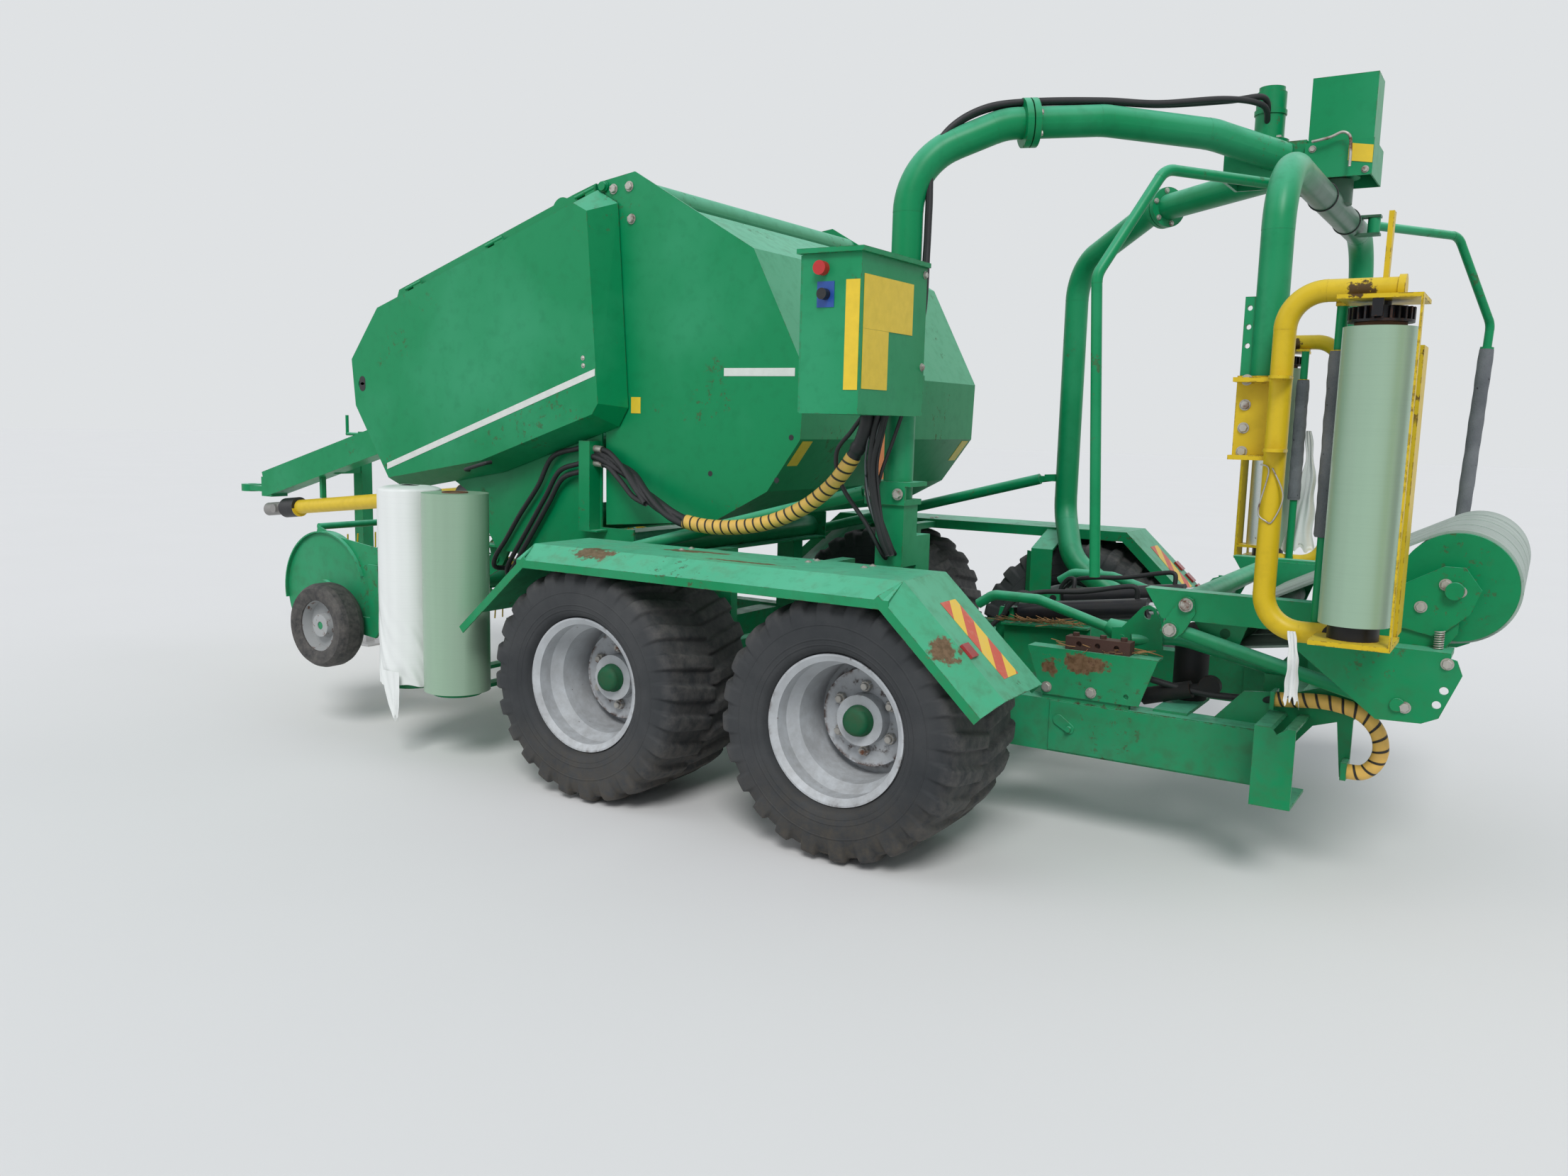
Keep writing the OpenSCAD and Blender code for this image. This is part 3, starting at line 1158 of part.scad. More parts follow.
// Film cutter arms: bent tube on a cone at the chassis
module cutter() {
    p = [cutter_x, cutter_y, cutter_z];
    difference() {
        union() {
            bent_tube([p, [cutter_x - 307, cutter_y, cutter_z + cutter_rise], [640, cutter_y, cutter_z + cutter_rise],
                [585, cutter_y, cutter_z + cutter_rise - 37]], 34, 60);
            across(30, 70, p[0], p[1], p[2]);
            translate(p) rotate([0, -68, 0]) cylinder(h = 70, r1 = 46, r2 = 26);
        }
        across(12.1, 130, p[0], p[1], p[2]);
        // The cone's wide end is open
        translate(p) rotate([0, -68, 0]) translate([0, 0, -1]) cylinder(h = 20, r = 12);
    }
}

module cutter_left() color(paint) place() mirror([0, 1, 0]) cutter();
module cutter_right() color(paint) place() cutter();

// Hoses: a tube with a ring of hose_sides points at each step of a smooth curve through the route
front_route = [[-870, -752, 1165], [-845, -752, 1165], [-780, -752, 1146], [-680, -770, 1105], [-560, -820, 1040],
    [-420, -864, 980], [-300, -874, 952], [-154, -880, 950], [0, -880, 975], [140, -884, 1030], [245, -892, 1100],
    [320, -904, 1175], [372, -914, 1250], [396, -920, 1310], [400, -920, 1344]];
rear_route = [[1596, -548, 540], [1650, -548, 545], [1700, -548, 550], [1760, -548, 549], [1827, -548, 532],
    [1872, -548, 490], [1887, -548, 435], [1874, -548, 389], [1845, -548, 362], [1804, -548, 358]];
hose_sides = 10;

// Point of the smooth curve through points a, b, c, d, at t between b and c
function curve(a, b, c, d, t) = 0.5 * ((2 * b) + (c - a) * t + (2 * a - 5 * b + 4 * c - d) * t * t
    + (3 * b - a - 3 * c + d) * t * t * t);
function route_point(r, i) = r[max(0, min(len(r) - 1, i))];
function smooth(r, steps) = [for (i = [0:len(r) - 2]) for (k = [0:steps - 1])
    curve(route_point(r, i - 1), r[i], r[i + 1], route_point(r, i + 2), k / steps), r[len(r) - 1]];

module hose(route, d, steps) {
    p = smooth(route, steps);
    n = len(p);
    rings = [for (i = [0:n - 1])
        let (a = unit(p[min(n - 1, i + 1)] - p[max(0, i - 1)]), s = unit(cross(a, [0, 1, 0])), u = cross(a, s))
        for (k = [0:hose_sides - 1])
            p[i] + d / 2 * (cos(k * 360 / hose_sides) * s + sin(k * 360 / hose_sides) * u)];
    sides = [for (i = [0:n - 2]) for (k = [0:hose_sides - 1]) let (m = (k + 1) % hose_sides)
        each [[i * hose_sides + k, (i + 1) * hose_sides + k, (i + 1) * hose_sides + m],
            [i * hose_sides + k, (i + 1) * hose_sides + m, i * hose_sides + m]]];
    polyhedron(rings, concat([[for (k = [0:hose_sides - 1]) k]], sides,
        [[for (k = [0:hose_sides - 1]) n * hose_sides - 1 - k]]));
}

module hose_front() color(yellow) place() hose(front_route, 52, 2);
module hose_rear() color(yellow) place() hose(rear_route, 44, 2);

main_frame();
lamp_boxes();
tail_lamps();
walking_beams();
mudguards();
reflectors();
drawbar();
pto_shaft();
jack_tube();
jack_leg();
chamber_front();
front_housing();
cover_left();
cover_right();
hose_bracket();
tailgate();
arches();
post_braces();
head_plate();
head_motor();
head_hood();
control_box();
control_door();
control_knobs();
film_rack();
stored_roll_new();
stored_roll_bagged();
side_bracket();
valve_block();
tyre_front_left();
tyre_rear_left();
tyre_front_right();
tyre_rear_right();
rim_front_left();
rim_rear_left();
rim_front_right();
rim_rear_right();
pickup_frame();
pickup_reel();
gauge_wheel_left();
gauge_wheel_right();
rotor_arm();
dispenser_left();
dispenser_right();
film_roll_left();
film_roll_right();
stretch_roller_left();
stretch_roller_right();
safety_arm_left();
safety_arm_right();
table_frame();
table_belts();
table_drum();
table_roller();
ram_barrels();
ram_rods();
cutter_left();
cutter_right();
hose_front();
hose_rear();
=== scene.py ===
"""Looks of the towed round baler and wrapper: finishes for the CAD pieces, and the small things on them.

Lengths are metres in the machine's frame: +X is rearwards, -Y the left side, +Z up. Points given to place()
are millimetres from the middle between the axles.
"""
import bpy
import json
import math
import numpy as np
from mathutils import Matrix, Vector


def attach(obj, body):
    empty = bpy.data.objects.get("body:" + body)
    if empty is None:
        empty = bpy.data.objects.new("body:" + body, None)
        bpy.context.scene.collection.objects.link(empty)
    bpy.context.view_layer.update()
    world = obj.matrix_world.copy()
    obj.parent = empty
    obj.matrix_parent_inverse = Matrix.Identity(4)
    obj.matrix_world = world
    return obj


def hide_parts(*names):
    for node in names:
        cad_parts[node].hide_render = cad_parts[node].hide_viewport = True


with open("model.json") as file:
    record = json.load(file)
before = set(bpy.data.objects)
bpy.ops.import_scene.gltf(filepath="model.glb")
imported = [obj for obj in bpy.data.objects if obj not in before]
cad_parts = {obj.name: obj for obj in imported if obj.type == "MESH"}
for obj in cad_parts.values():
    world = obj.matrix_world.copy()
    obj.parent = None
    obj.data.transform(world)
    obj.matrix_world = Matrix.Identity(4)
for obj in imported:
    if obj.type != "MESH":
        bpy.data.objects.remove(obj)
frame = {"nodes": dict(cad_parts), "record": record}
nodes = frame["nodes"]
bpy.context.view_layer.update()

BOGIE_X = 1.010          # the middle between the two axles
AXLE_X = 0.495           # an axle's distance from there
AXLE_Z = 0.410
WHEEL_Y = 1.025          # the middle of a tyre
ROTOR = np.array([2.560, 0.0, 0.0])    # foot of the rotor's axis
FILM_X, FILM_Y = 0.290, 1.000          # a film roll's axis, from the rotor's
BAG_X, RACK_Y = BOGIE_X - 1.440, -1.160    # the bagged roll's axis on the film rack

# Faces that small pieces sit on, in millimetres as place() takes them
GATE_LEFT = -722         # the tailgate's left side
COVER_LEFT = -848        # the left cover's outer face
GUARD_TOP = 875          # the mudguards' top
BOX_REAR, BOX_FOOT = 556, 1344         # the control box's rear face and its bottom
SIDES = ((-1, "left"), (1, "right"))


# Camera, at the place the photograph was taken from

CAMERA_AT = (3.2286, -4.2657, 1.3198)
YAW, PITCH, ROLL = -0.5631, 0.1384, 0.0245


def make_camera():
    """Turns yaw, then pitch down, then roll into the camera's three axes."""
    ahead = Vector((math.sin(YAW) * math.cos(PITCH), math.cos(YAW) * math.cos(PITCH), -math.sin(PITCH)))
    level = Vector((math.cos(YAW), -math.sin(YAW), 0))
    upright = level.cross(ahead)
    right = level * math.cos(ROLL) + upright * math.sin(ROLL)
    up = upright * math.cos(ROLL) - level * math.sin(ROLL)
    data = bpy.data.cameras.new("camera")
    data.lens, data.sensor_width, data.clip_end = 27.6, 36, 200
    camera = bpy.data.objects.new("camera", data)
    turn = Matrix((right, up, -ahead)).transposed().to_4x4()
    camera.matrix_world = Matrix.Translation(CAMERA_AT) @ turn
    bpy.context.scene.collection.objects.link(camera)
    bpy.context.scene.camera = camera


# Shader maths: numbers are Python's, whatever varies over the surface is a Socket

class Socket:
    """An output socket with arithmetic: each operator adds one Math node to the same tree."""

    def __init__(self, tree, out):
        self.tree, self.out = tree, out

    def maths(self, operation, *others, clamp=False):
        step = self.tree.nodes.new("ShaderNodeMath")
        step.operation, step.use_clamp = operation, clamp
        for value, entry in zip((self,) + others, step.inputs):
            feed(self.tree, value, entry)
        return Socket(self.tree, step.outputs[0])

    def __add__(self, other): return self.maths("ADD", other)
    __radd__ = __add__
    def __mul__(self, other): return self.maths("MULTIPLY", other)
    def __sub__(self, other): return self.maths("SUBTRACT", other)
    def __rsub__(self, other): return self.maths("MULTIPLY_ADD", -1.0, other)
    def __pow__(self, other): return self.maths("POWER", other)
    def __abs__(self): return self.maths("ABSOLUTE")
    def clamp(self): return self.maths("ADD", 0.0, clamp=True)
    def over(self, edge): return self.maths("GREATER_THAN", edge)
    def under(self, edge): return 1.0 - self.over(edge)
    def between(self, low, high): return self.over(low) * self.under(high)
    def larger(self, other): return self.maths("MAXIMUM", other)
    def wrap(self, period): return self.maths("FLOORED_MODULO", period)
    def ramp(self, low, high):
        """0 below low, 1 above high, straight in between."""
        return ((self - low) * (1 / (high - low))).clamp()


def feed(tree, value, entry):
    """Links a Socket to a node's input, or gives the input a plain value."""
    if isinstance(value, Socket):
        tree.links.new(value.out, entry)
    else:
        entry.default_value = value


def norm(*parts):
    """The length of a vector from its parts."""
    return sum(part * part for part in parts) ** 0.5


def rgba(colour):
    """A plain colour with its alpha, or a Socket as it is."""
    return colour if isinstance(colour, Socket) else (*colour, 1)


class Finish:
    """A material with one Principled shader, and the nodes that feed it."""

    def __init__(self, name, metallic=0.0, specular=0.5):
        self.material = bpy.data.materials.new(name)
        self.material.use_nodes = True
        self.tree = self.material.node_tree
        self.shader = self.tree.nodes["Principled BSDF"]
        self.shader.inputs["Metallic"].default_value = metallic
        self.shader.inputs["Specular IOR Level"].default_value = specular
        self.here = self.node("ShaderNodeTexCoord", out="Object")
        self.x, self.y, self.z = self.split(self.here)

    def node(self, kind, inputs=(), out=0, **settings):
        """Adds a node: its settings first, then its inputs, by name or number. Gives one of its outputs."""
        made = self.tree.nodes.new(kind)
        for key, value in settings.items():
            setattr(made, key, value)
        for key, value in dict(inputs).items():
            feed(self.tree, value, made.inputs[key])
        return Socket(self.tree, made.outputs[out])

    def split(self, vector):
        """The three parts of a vector."""
        made = self.tree.nodes.new("ShaderNodeSeparateXYZ")
        self.tree.links.new(vector.out, made.inputs[0])
        return [Socket(self.tree, part) for part in made.outputs]

    def uv(self):
        """The two coordinates of the piece's own UV map."""
        return self.split(self.node("ShaderNodeTexCoord", out="UV"))[:2]

    def noise(self, scale, detail=3.0, roughness=0.55, stretch=None):
        """Noise from 0 to 1, with features about 1/scale metres across; stretch scales each direction."""
        at = self.here
        if stretch:
            at = self.node("ShaderNodeVectorMath", {0: at, 1: stretch}, operation="MULTIPLY")
        return self.node("ShaderNodeTexNoise", {"Vector": at, "Scale": scale, "Detail": detail,
                                                "Roughness": roughness})

    def cells(self, scale):
        return self.node("ShaderNodeTexVoronoi", {"Vector": self.here, "Scale": scale}, "Distance")

    def mix(self, mask, a, b):
        """Colour a where mask is 0, colour b where it is 1."""
        return self.node("ShaderNodeMix", {0: mask, 6: rgba(a), 7: rgba(b)}, 2, data_type="RGBA")

    def facing_up(self):
        """The surface normal's upward part, from -1 to 1."""
        return self.split(self.node("ShaderNodeNewGeometry", out="Normal"))[2]

    def edges(self):
        """About 0 on flat faces and 1 on sharp edges: how far the rounded normal leans from the real one."""
        soft = self.node("ShaderNodeBevel", {"Radius": 0.006}, samples=4)
        real = self.node("ShaderNodeNewGeometry", out="Normal")
        same = self.node("ShaderNodeVectorMath", {0: soft, 1: real}, "Value", operation="DOT_PRODUCT")
        return (1.0 - same).ramp(0.02, 0.22)

    def set(self, colour, roughness, height=None, depth=0.001, strength=1.0):
        """Feeds the shader its colour, its roughness and a bump of the given depth in metres."""
        feed(self.tree, rgba(colour), self.shader.inputs["Base Color"])
        feed(self.tree, roughness, self.shader.inputs["Roughness"])
        if height is not None:
            bump = self.node("ShaderNodeBump", {"Height": height, "Distance": depth, "Strength": strength},
                             "Normal")
            self.tree.links.new(bump.out, self.shader.inputs["Normal"])
        return self.material


# The pale colours are what upward faces turn to: a painted highlight of the sky, with some real fading
GREEN, PALE_GREEN = (0.0, 0.235, 0.082), (0.120, 0.530, 0.330)
YELLOW, PALE_YELLOW = (0.62, 0.43, 0.012), (0.74, 0.55, 0.05)
RUST, DARK_RUST = (0.115, 0.043, 0.020), (0.045, 0.020, 0.012)
DUST, EARTH = (0.36, 0.32, 0.24), (0.10, 0.075, 0.048)


def same_all_over(f):
    """For a finish of which no part is coated differently."""
    return []


def paint(name, colour, faded_and_lit, wear, dirt, gloss=0.34, parts=same_all_over):
    """Sprayed paint on steel: uneven fading, a painted highlight that lightens the upward faces, dust on top faces,
    earth low down, chipped edges with rust.

    parts is a function that gives pairs of a mask and the colour of what is coated differently."""
    f = Finish(name, specular=0.28)
    broad, fine, grain = f.noise(1.3, 4), f.noise(22, 4, 0.6), f.noise(160, 2)
    up = f.facing_up()
    # Painted highlight: upward faces are lightened as if lit by the sky; the broad noise adds real uneven fading
    top_highlight_and_fade = (up.ramp(0.15, 0.95) * 0.80 + broad.ramp(0.45, 0.75) * 0.25).clamp()
    coat = f.mix(top_highlight_and_fade, colour, faded_and_lit)
    coat = f.mix((fine.ramp(0.5, 0.8) * 0.35).clamp(), coat, tuple(c * 0.62 for c in colour))
    for mask, other in parts(f):
        coat = f.mix(mask, coat, other)
    dusty = up.ramp(0.55, 1.0) * fine.ramp(0.42, 0.72) * f.noise(4, 3).ramp(0.4, 0.7) * dirt * 0.55
    coat = f.mix(dusty.clamp(), coat, DUST)
    low = (1.0 - f.z.ramp(0.15, 0.95)) * fine.ramp(0.35, 0.75) * dirt * 0.7
    coat = f.mix(low.clamp(), coat, EARTH)
    flakes = f.noise(38, 5, 0.7)
    bare = (f.edges() * flakes.ramp(0.50, 0.58) * wear * 1.6
            + f.noise(3.1, 2).ramp(0.60, 0.64) * flakes.ramp(0.58, 0.61) * wear
            + flakes.ramp(0.735, 0.75) * wear).clamp()
    coat = f.mix(bare, coat, f.mix(grain.ramp(0.3, 0.7), RUST, DARK_RUST))
    rough = (gloss + fine * 0.12 + dusty * 0.5 + low * 0.4 + bare * 0.5).clamp()
    return f.set(coat, rough, (1.0 - bare) * 0.7 + fine * 0.12 + grain * 0.04, 0.0012, 0.5)


def above_film(f):
    """Black brake ring and stop at the ends of a film roll, the green rod in the foam sleeve, and rust."""
    u, v = abs(f.x - ROTOR[0]) - FILM_X, abs(f.y) - FILM_Y
    near = norm(u, v).under(0.092)
    ring, spigot = near * f.z.between(1.5866, 1.6387), near * f.z.between(0.8145, 1.0)
    rod = norm(u + 0.101, v + 0.100).under(0.0148) * f.z.between(0.815, 1.6387)
    stain = norm(u + 0.054, f.z - 1.668) + (f.noise(34, 5, 0.7) - 0.5) * 0.10
    return [((ring + spigot).clamp(), (0.010, 0.010, 0.012)), (rod, GREEN),
            ((1.0 - stain.ramp(0.022, 0.030)) * 0.95, DARK_RUST)]


def rust_patches(centres):
    """Blotches of rust: at each centre, an ellipsoid of the given half sizes whose edge a noise breaks up."""
    def masks(f):
        ragged, fine = (f.noise(24, 5, 0.7) - 0.5) * 2.4, f.noise(70, 3)
        reaches = [norm((f.x - x) * (1 / a), (f.y - y) * (1 / b), (f.z - z) * (1 / c)) + ragged
                   for (x, y, z), (a, b, c) in centres]
        total = sum(1.0 - reach.ramp(0.75, 0.95) for reach in reaches).clamp()
        return [(total * 0.92, f.mix(fine.ramp(0.35, 0.65), RUST, (0.20, 0.095, 0.055)))]
    return masks


def beyond(axis, edge, colour):
    """Another colour where the coordinate is above edge."""
    return lambda f: [(getattr(f, axis).over(edge), colour)]


def darker_beam_middle(f):
    """The rotor's cross beam is darker and mottled between its bends; the legs keep their colour."""
    beam_mottle = f.noise(5, 4, 0.6, stretch=(1.0, 0.35, 1.0))
    middle = (1.0 - norm(f.x - ROTOR[0], f.y).ramp(0.42, 0.66)) * f.z.over(1.9)
    return [(middle * 0.85, f.mix(beam_mottle.ramp(0.35, 0.65), (0.042, 0.090, 0.062), (0.085, 0.145, 0.105)))]


def knob_colours(f):
    """Red push button on top, blue key plate below it, black switch on the plate."""
    low = f.z.under(1.725)
    return [(low, (0.015, 0.075, 0.33)), (low * f.y.under(-1.2702), (0.012, 0.012, 0.014))]


def shaft_colours(f):
    """Black bells at both joints of the drive shaft, bare yoke in front, dark gearbox behind."""
    black, along = (0.014, 0.014, 0.016), f.x - BOGIE_X
    return [(along.over(-2.405), black), (along.under(-3.716), black),
            (along.under(-3.838), (0.24, 0.23, 0.22)), (along.over(-2.206), (0.02, 0.10, 0.05))]


def plain_plastic(name, colour, rough, vary=0.25, parts=same_all_over):
    """Plastic, rubber, board or straw of one colour, a little darker in places."""
    f = Finish(name)
    n = f.noise(30, 4)
    tone = f.mix(n.ramp(0.35, 0.8) * vary, colour, tuple(c * 0.5 for c in colour))
    for mask, other in parts(f):
        tone = f.mix(mask, tone, other)
    return f.set(tone, n * 0.2 + (rough - 0.1), f.noise(300, 2), 0.0003, 0.4)


def wheel_radius(f):
    """Distance from the nearest axle's line, the same on all four wheels."""
    return norm(abs(f.x - BOGIE_X) - AXLE_X, f.z - AXLE_Z)


def silver_rim():
    """Grey rim paint, dusty, with rust along the disc's weld and round the studs."""
    f = Finish("silver_paint", specular=0.5)
    r = wheel_radius(f)
    fine, blot = f.noise(30, 5, 0.65), f.noise(7, 3)
    coat = f.mix(blot.ramp(0.35, 0.75), (0.55, 0.575, 0.595), (0.40, 0.415, 0.43))
    weld = (1.0 - abs(r - 0.157).ramp(0.004, 0.016)) * fine.ramp(0.44, 0.56)
    studs = (1.0 - abs(r - 0.104).ramp(0.010, 0.030)) * fine.ramp(0.55, 0.66)
    lip = r.ramp(0.222, 0.231) * fine.ramp(0.56, 0.68) * 0.6
    spots = f.noise(60, 4, 0.7).ramp(0.70, 0.74)
    bare = (weld + studs + lip + spots).clamp()
    coat = f.mix((1.0 - f.z.ramp(0.2, 0.75)) * fine.ramp(0.3, 0.8) * 0.45, coat, EARTH)
    coat = f.mix(bare, coat, f.mix(fine.ramp(0.45, 0.6), RUST, DARK_RUST))
    return f.set(coat, fine * 0.2 + 0.42 + bare * 0.3, fine * 0.3 + bare * 0.6, 0.0012, 0.5)


def tyre_rubber():
    """Weathered rubber: greyer on the tread, brown dust in the grooves and towards the ground."""
    f = Finish("tyre_rubber", specular=0.35)
    r = wheel_radius(f)
    fine, broad = f.noise(26, 5, 0.7), f.noise(5, 4)
    rubber = f.mix(broad.ramp(0.3, 0.75), (0.026, 0.029, 0.032), (0.056, 0.058, 0.060))
    rubber = f.mix(r.ramp(0.36, 0.415) * fine.ramp(0.35, 0.7) * 0.75, rubber, (0.145, 0.135, 0.125))
    soil = (1.0 - f.z.ramp(0.02, 0.30)) * fine.ramp(0.35, 0.7) * 0.8
    rubber = f.mix(soil, rubber, (0.085, 0.070, 0.050))
    cracks = f.cells(95).ramp(0.0, 0.5)
    ridges = sum(1.0 - abs(r - radius).ramp(0.0012, 0.0035) for radius in (0.262, 0.279, 0.322))
    return f.set(rubber, fine * 0.18 + 0.66, fine * 0.5 + cracks * 0.2 + ridges * 1.2, 0.0018, 0.7)


def gauge_tyre():
    """Small tyre of the pick-up with a painted middle: rubber outside a radius of 103 mm."""
    f = Finish("gauge_tyre", specular=0.35)
    fine = f.noise(30, 5, 0.7)
    rubber = f.mix(fine.ramp(0.3, 0.75), (0.024, 0.025, 0.027), (0.12, 0.11, 0.10))
    rim = f.mix(fine.ramp(0.58, 0.68), (0.36, 0.37, 0.37), RUST)
    tone = f.mix(norm(f.x - (BOGIE_X - 1.945), f.z - 0.448).under(0.103), rubber, rim)
    return f.set(tone, fine * 0.2 + 0.55, fine, 0.0012, 0.5)


def film_wrap(name, colour):
    """Stretch film wound on a roll: soft vertical bands, hair-fine edges of the turns and a waxy shine."""
    f = Finish(name, specular=0.5)
    around = f.noise(14, 2, stretch=(1.0, 1.0, 0.03))
    rings = f.noise(6, 4, 0.7, stretch=(0.4, 0.4, 30.0))
    tone = f.mix(around.ramp(0.3, 0.7) * 0.6, colour, tuple(min(1, c * 1.22) for c in colour))
    tone = f.mix(rings.ramp(0.5, 0.9) * 0.25, tone, tuple(c * 0.8 for c in colour))
    f.shader.inputs["Coat Roughness"].default_value = 0.25
    f.shader.inputs["Coat Weight"].default_value = 0.35
    return f.set(tone, rings * 0.15 + 0.30, around + rings * 0.25, 0.0012, 0.35)


def bare_metal(name, colour, rough, metallic, rust, brush=(1.0, 1.0, 0.05)):
    """Metal with fine lines along the brush direction, and spots of rust."""
    f = Finish(name, metallic=metallic)
    lines, fine = f.noise(120, 3, 0.6, stretch=brush), f.noise(25, 4)
    tone = f.mix(lines.ramp(0.3, 0.7) * 0.4, colour, tuple(c * 0.7 for c in colour))
    spots = fine.ramp(0.72 - rust * 0.3, 0.80 - rust * 0.2)
    dull = (1.0 - spots) * metallic
    f.tree.links.new(dull.out, f.shader.inputs["Metallic"])
    return f.set(f.mix(spots, tone, RUST), lines * 0.15 + rough + spots * 0.3, lines, 0.0004, 0.4)


def foam_skin():
    """Closed-cell foam sleeve: matt grey, scuffed, pitted."""
    f = Finish("foam_grey", specular=0.25)
    pits, scuff = f.cells(240).ramp(0.0, 0.6), f.noise(9, 4)
    tone = f.mix(scuff.ramp(0.35, 0.75), (0.115, 0.125, 0.135), (0.20, 0.21, 0.22))
    return f.set(f.mix(f.noise(50, 3).ramp(0.68, 0.72), tone, (0.04, 0.04, 0.045)), 0.85, pits + scuff * 0.6,
                 0.0012, 0.6)


def belt_rubber():
    """Pale green belts, rubbed grey in streaks that run with them, with dark specks."""
    f = Finish("belt_rubber", specular=0.35)
    rub, fine = f.noise(3, 3, stretch=(1, 6, 1)), f.noise(60, 3)
    tone = f.mix(rub.ramp(0.3, 0.7), (0.40, 0.47, 0.42), (0.27, 0.33, 0.29))
    tone = f.mix(fine.ramp(0.6, 0.75) * 0.5, tone, (0.14, 0.15, 0.12))
    return f.set(tone, fine * 0.15 + 0.45, fine, 0.0006, 0.5)


def hazard_stripes():
    """Red and yellow stripes at 45 degrees in the piece's own UV map, which is in metres."""
    f = Finish("hazard", specular=0.4)
    u, v = f.uv()
    period, worn = 0.125, f.noise(25, 5, 0.7)
    tone = f.mix((u + v).wrap(period).over(period / 2), (0.62, 0.085, 0.045), (0.85, 0.55, 0.05))
    tone = f.mix(worn.ramp(0.5, 0.85) * 0.35, tone, (0.62, 0.55, 0.42))
    return f.set(tone, worn * 0.2 + 0.35, worn, 0.0004, 0.4)


def spiral_guard(name, start, stop):
    """Yellow spiral guard from start to stop along the tube's UV map, in metres and turns; rubber elsewhere."""
    f = Finish(name, specular=0.4)
    along, turns = f.uv()
    pitch, dirt = 0.034, f.noise(30, 4)
    gap = 1.0 - abs((along - turns * pitch).wrap(pitch) - pitch / 2).ramp(0.0025, 0.0045)
    tone = f.mix(dirt.ramp(0.4, 0.8) * 0.5, (0.78, 0.47, 0.10), (0.45, 0.28, 0.10))
    inside = along.between(start, stop)
    tone = f.mix(inside, (0.016, 0.016, 0.018), f.mix(gap, tone, (0.02, 0.018, 0.016)))
    return f.set(tone, dirt * 0.2 + 0.40, (1.0 - gap) * inside + dirt * 0.1, 0.003, 0.8)


# Finishes by name, then one for each CAD piece: its slot's, unless it has its own

LAMP_RED = (0.36, 0.018, 0.020)
PAINTS = {      # colour, the lighter colour of faded spots and of the painted highlight on upward faces, wear, dirt, gloss, what is coated differently
    "green_paint": (GREEN, PALE_GREEN, 0.45, 0.5),
    "dark_green_paint": ((0.0, 0.095, 0.035), (0.02, 0.15, 0.07), 0.3, 0.8, 0.5),
    "bracket_green": (GREEN, PALE_GREEN, 0.6, 0.4, 0.34, rust_patches([
        ((2.030, -0.60, 0.583), (0.105, 0.05, 0.036)), ((1.93, -0.60, 0.560), (0.035, 0.05, 0.030))])),
    "guard_green": (GREEN, PALE_GREEN, 0.6, 0.6, 0.34, rust_patches([
        ((0.845, -1.010, 0.875), (0.14, 0.022, 0.030)), ((1.13, -1.150, 0.875), (0.16, 0.018, 0.030)),
        ((0.78, -1.03, 0.875), (0.10, 0.030, 0.030)), ((0.55, -1.21, 0.850), (0.12, 0.05, 0.040)),
        ((1.86, -1.25, 0.70), (0.06, 0.05, 0.05))])),
    "rotor_green": (GREEN, PALE_GREEN, 0.35, 0.5, 0.32, darker_beam_middle),
    "yellow_paint": (YELLOW, PALE_YELLOW, 0.75, 0.3),
    "dispenser_paint": (YELLOW, PALE_YELLOW, 0.75, 0.3, 0.34, above_film),
    "black_paint": ((0.012, 0.012, 0.016), (0.04, 0.04, 0.045), 0.15, 0.5, 0.25),
    "brown_paint": ((0.060, 0.028, 0.022), (0.10, 0.055, 0.045), 0.4, 0.4, 0.55,
                    beyond("y", -0.50, (0.014, 0.014, 0.016)))}
METALS = {      # colour, roughness, metallic, rust, stretch of the brushed lines
    "zinc_steel": ((0.5, 0.5, 0.5), 0.45, 0.8, 0.35),
    "chromed_steel": ((0.75, 0.76, 0.78), 0.12, 1.0, 0.0, (0.05, 1, 1)),
    "bare_aluminium": ((0.78, 0.80, 0.80), 0.34, 0.9, 0.0, (1, 1, 4.0)),
    "bolt_zinc": ((0.48, 0.46, 0.42), 0.42, 0.7, 0.55)}
PLASTICS = {    # colour, roughness, how much the tone varies, what is coloured differently
    "yellow_plastic": ((0.72, 0.50, 0.02), 0.5, 0.25, shaft_colours),
    "red_plastic": ((0.50, 0.02, 0.02), 0.35, 0.25, knob_colours),
    "lamp_red": (LAMP_RED, 0.22, 0.5),
    "tail_lamp": ((0.012, 0.012, 0.014), 0.3, 0.3, beyond("x", BOGIE_X + 1.6105, LAMP_RED)),
    "black_rubber": ((0.018, 0.018, 0.020), 0.6),
    "white_stripe": ((0.70, 0.72, 0.68), 0.45),
    "yellow_plate": ((0.80, 0.56, 0.03), 0.4),
    "orange_plate": ((0.85, 0.25, 0.06), 0.45),
    "straw": ((0.42, 0.22, 0.09), 0.8, 0.8),
    "core_board": ((0.16, 0.07, 0.035), 0.85, 0.5)}
finishes = {name: make(name, *how)
            for make, table in ((paint, PAINTS), (bare_metal, METALS), (plain_plastic, PLASTICS))
            for name, how in table.items()}
finishes.update({
    "silver_paint": silver_rim(), "tyre_rubber": tyre_rubber(), "gauge_tyre": gauge_tyre(), "foam_grey": foam_skin(),
    "belt_rubber": belt_rubber(), "hazard": hazard_stripes(),
    "green_film": film_wrap("green_film", (0.260, 0.385, 0.275)),
    "white_film": film_wrap("white_film", (0.72, 0.74, 0.72)),
    "front_guard": spiral_guard("front_guard", 0.59, 1.365), "rear_guard": spiral_guard("rear_guard", -1.0, 9.0)})

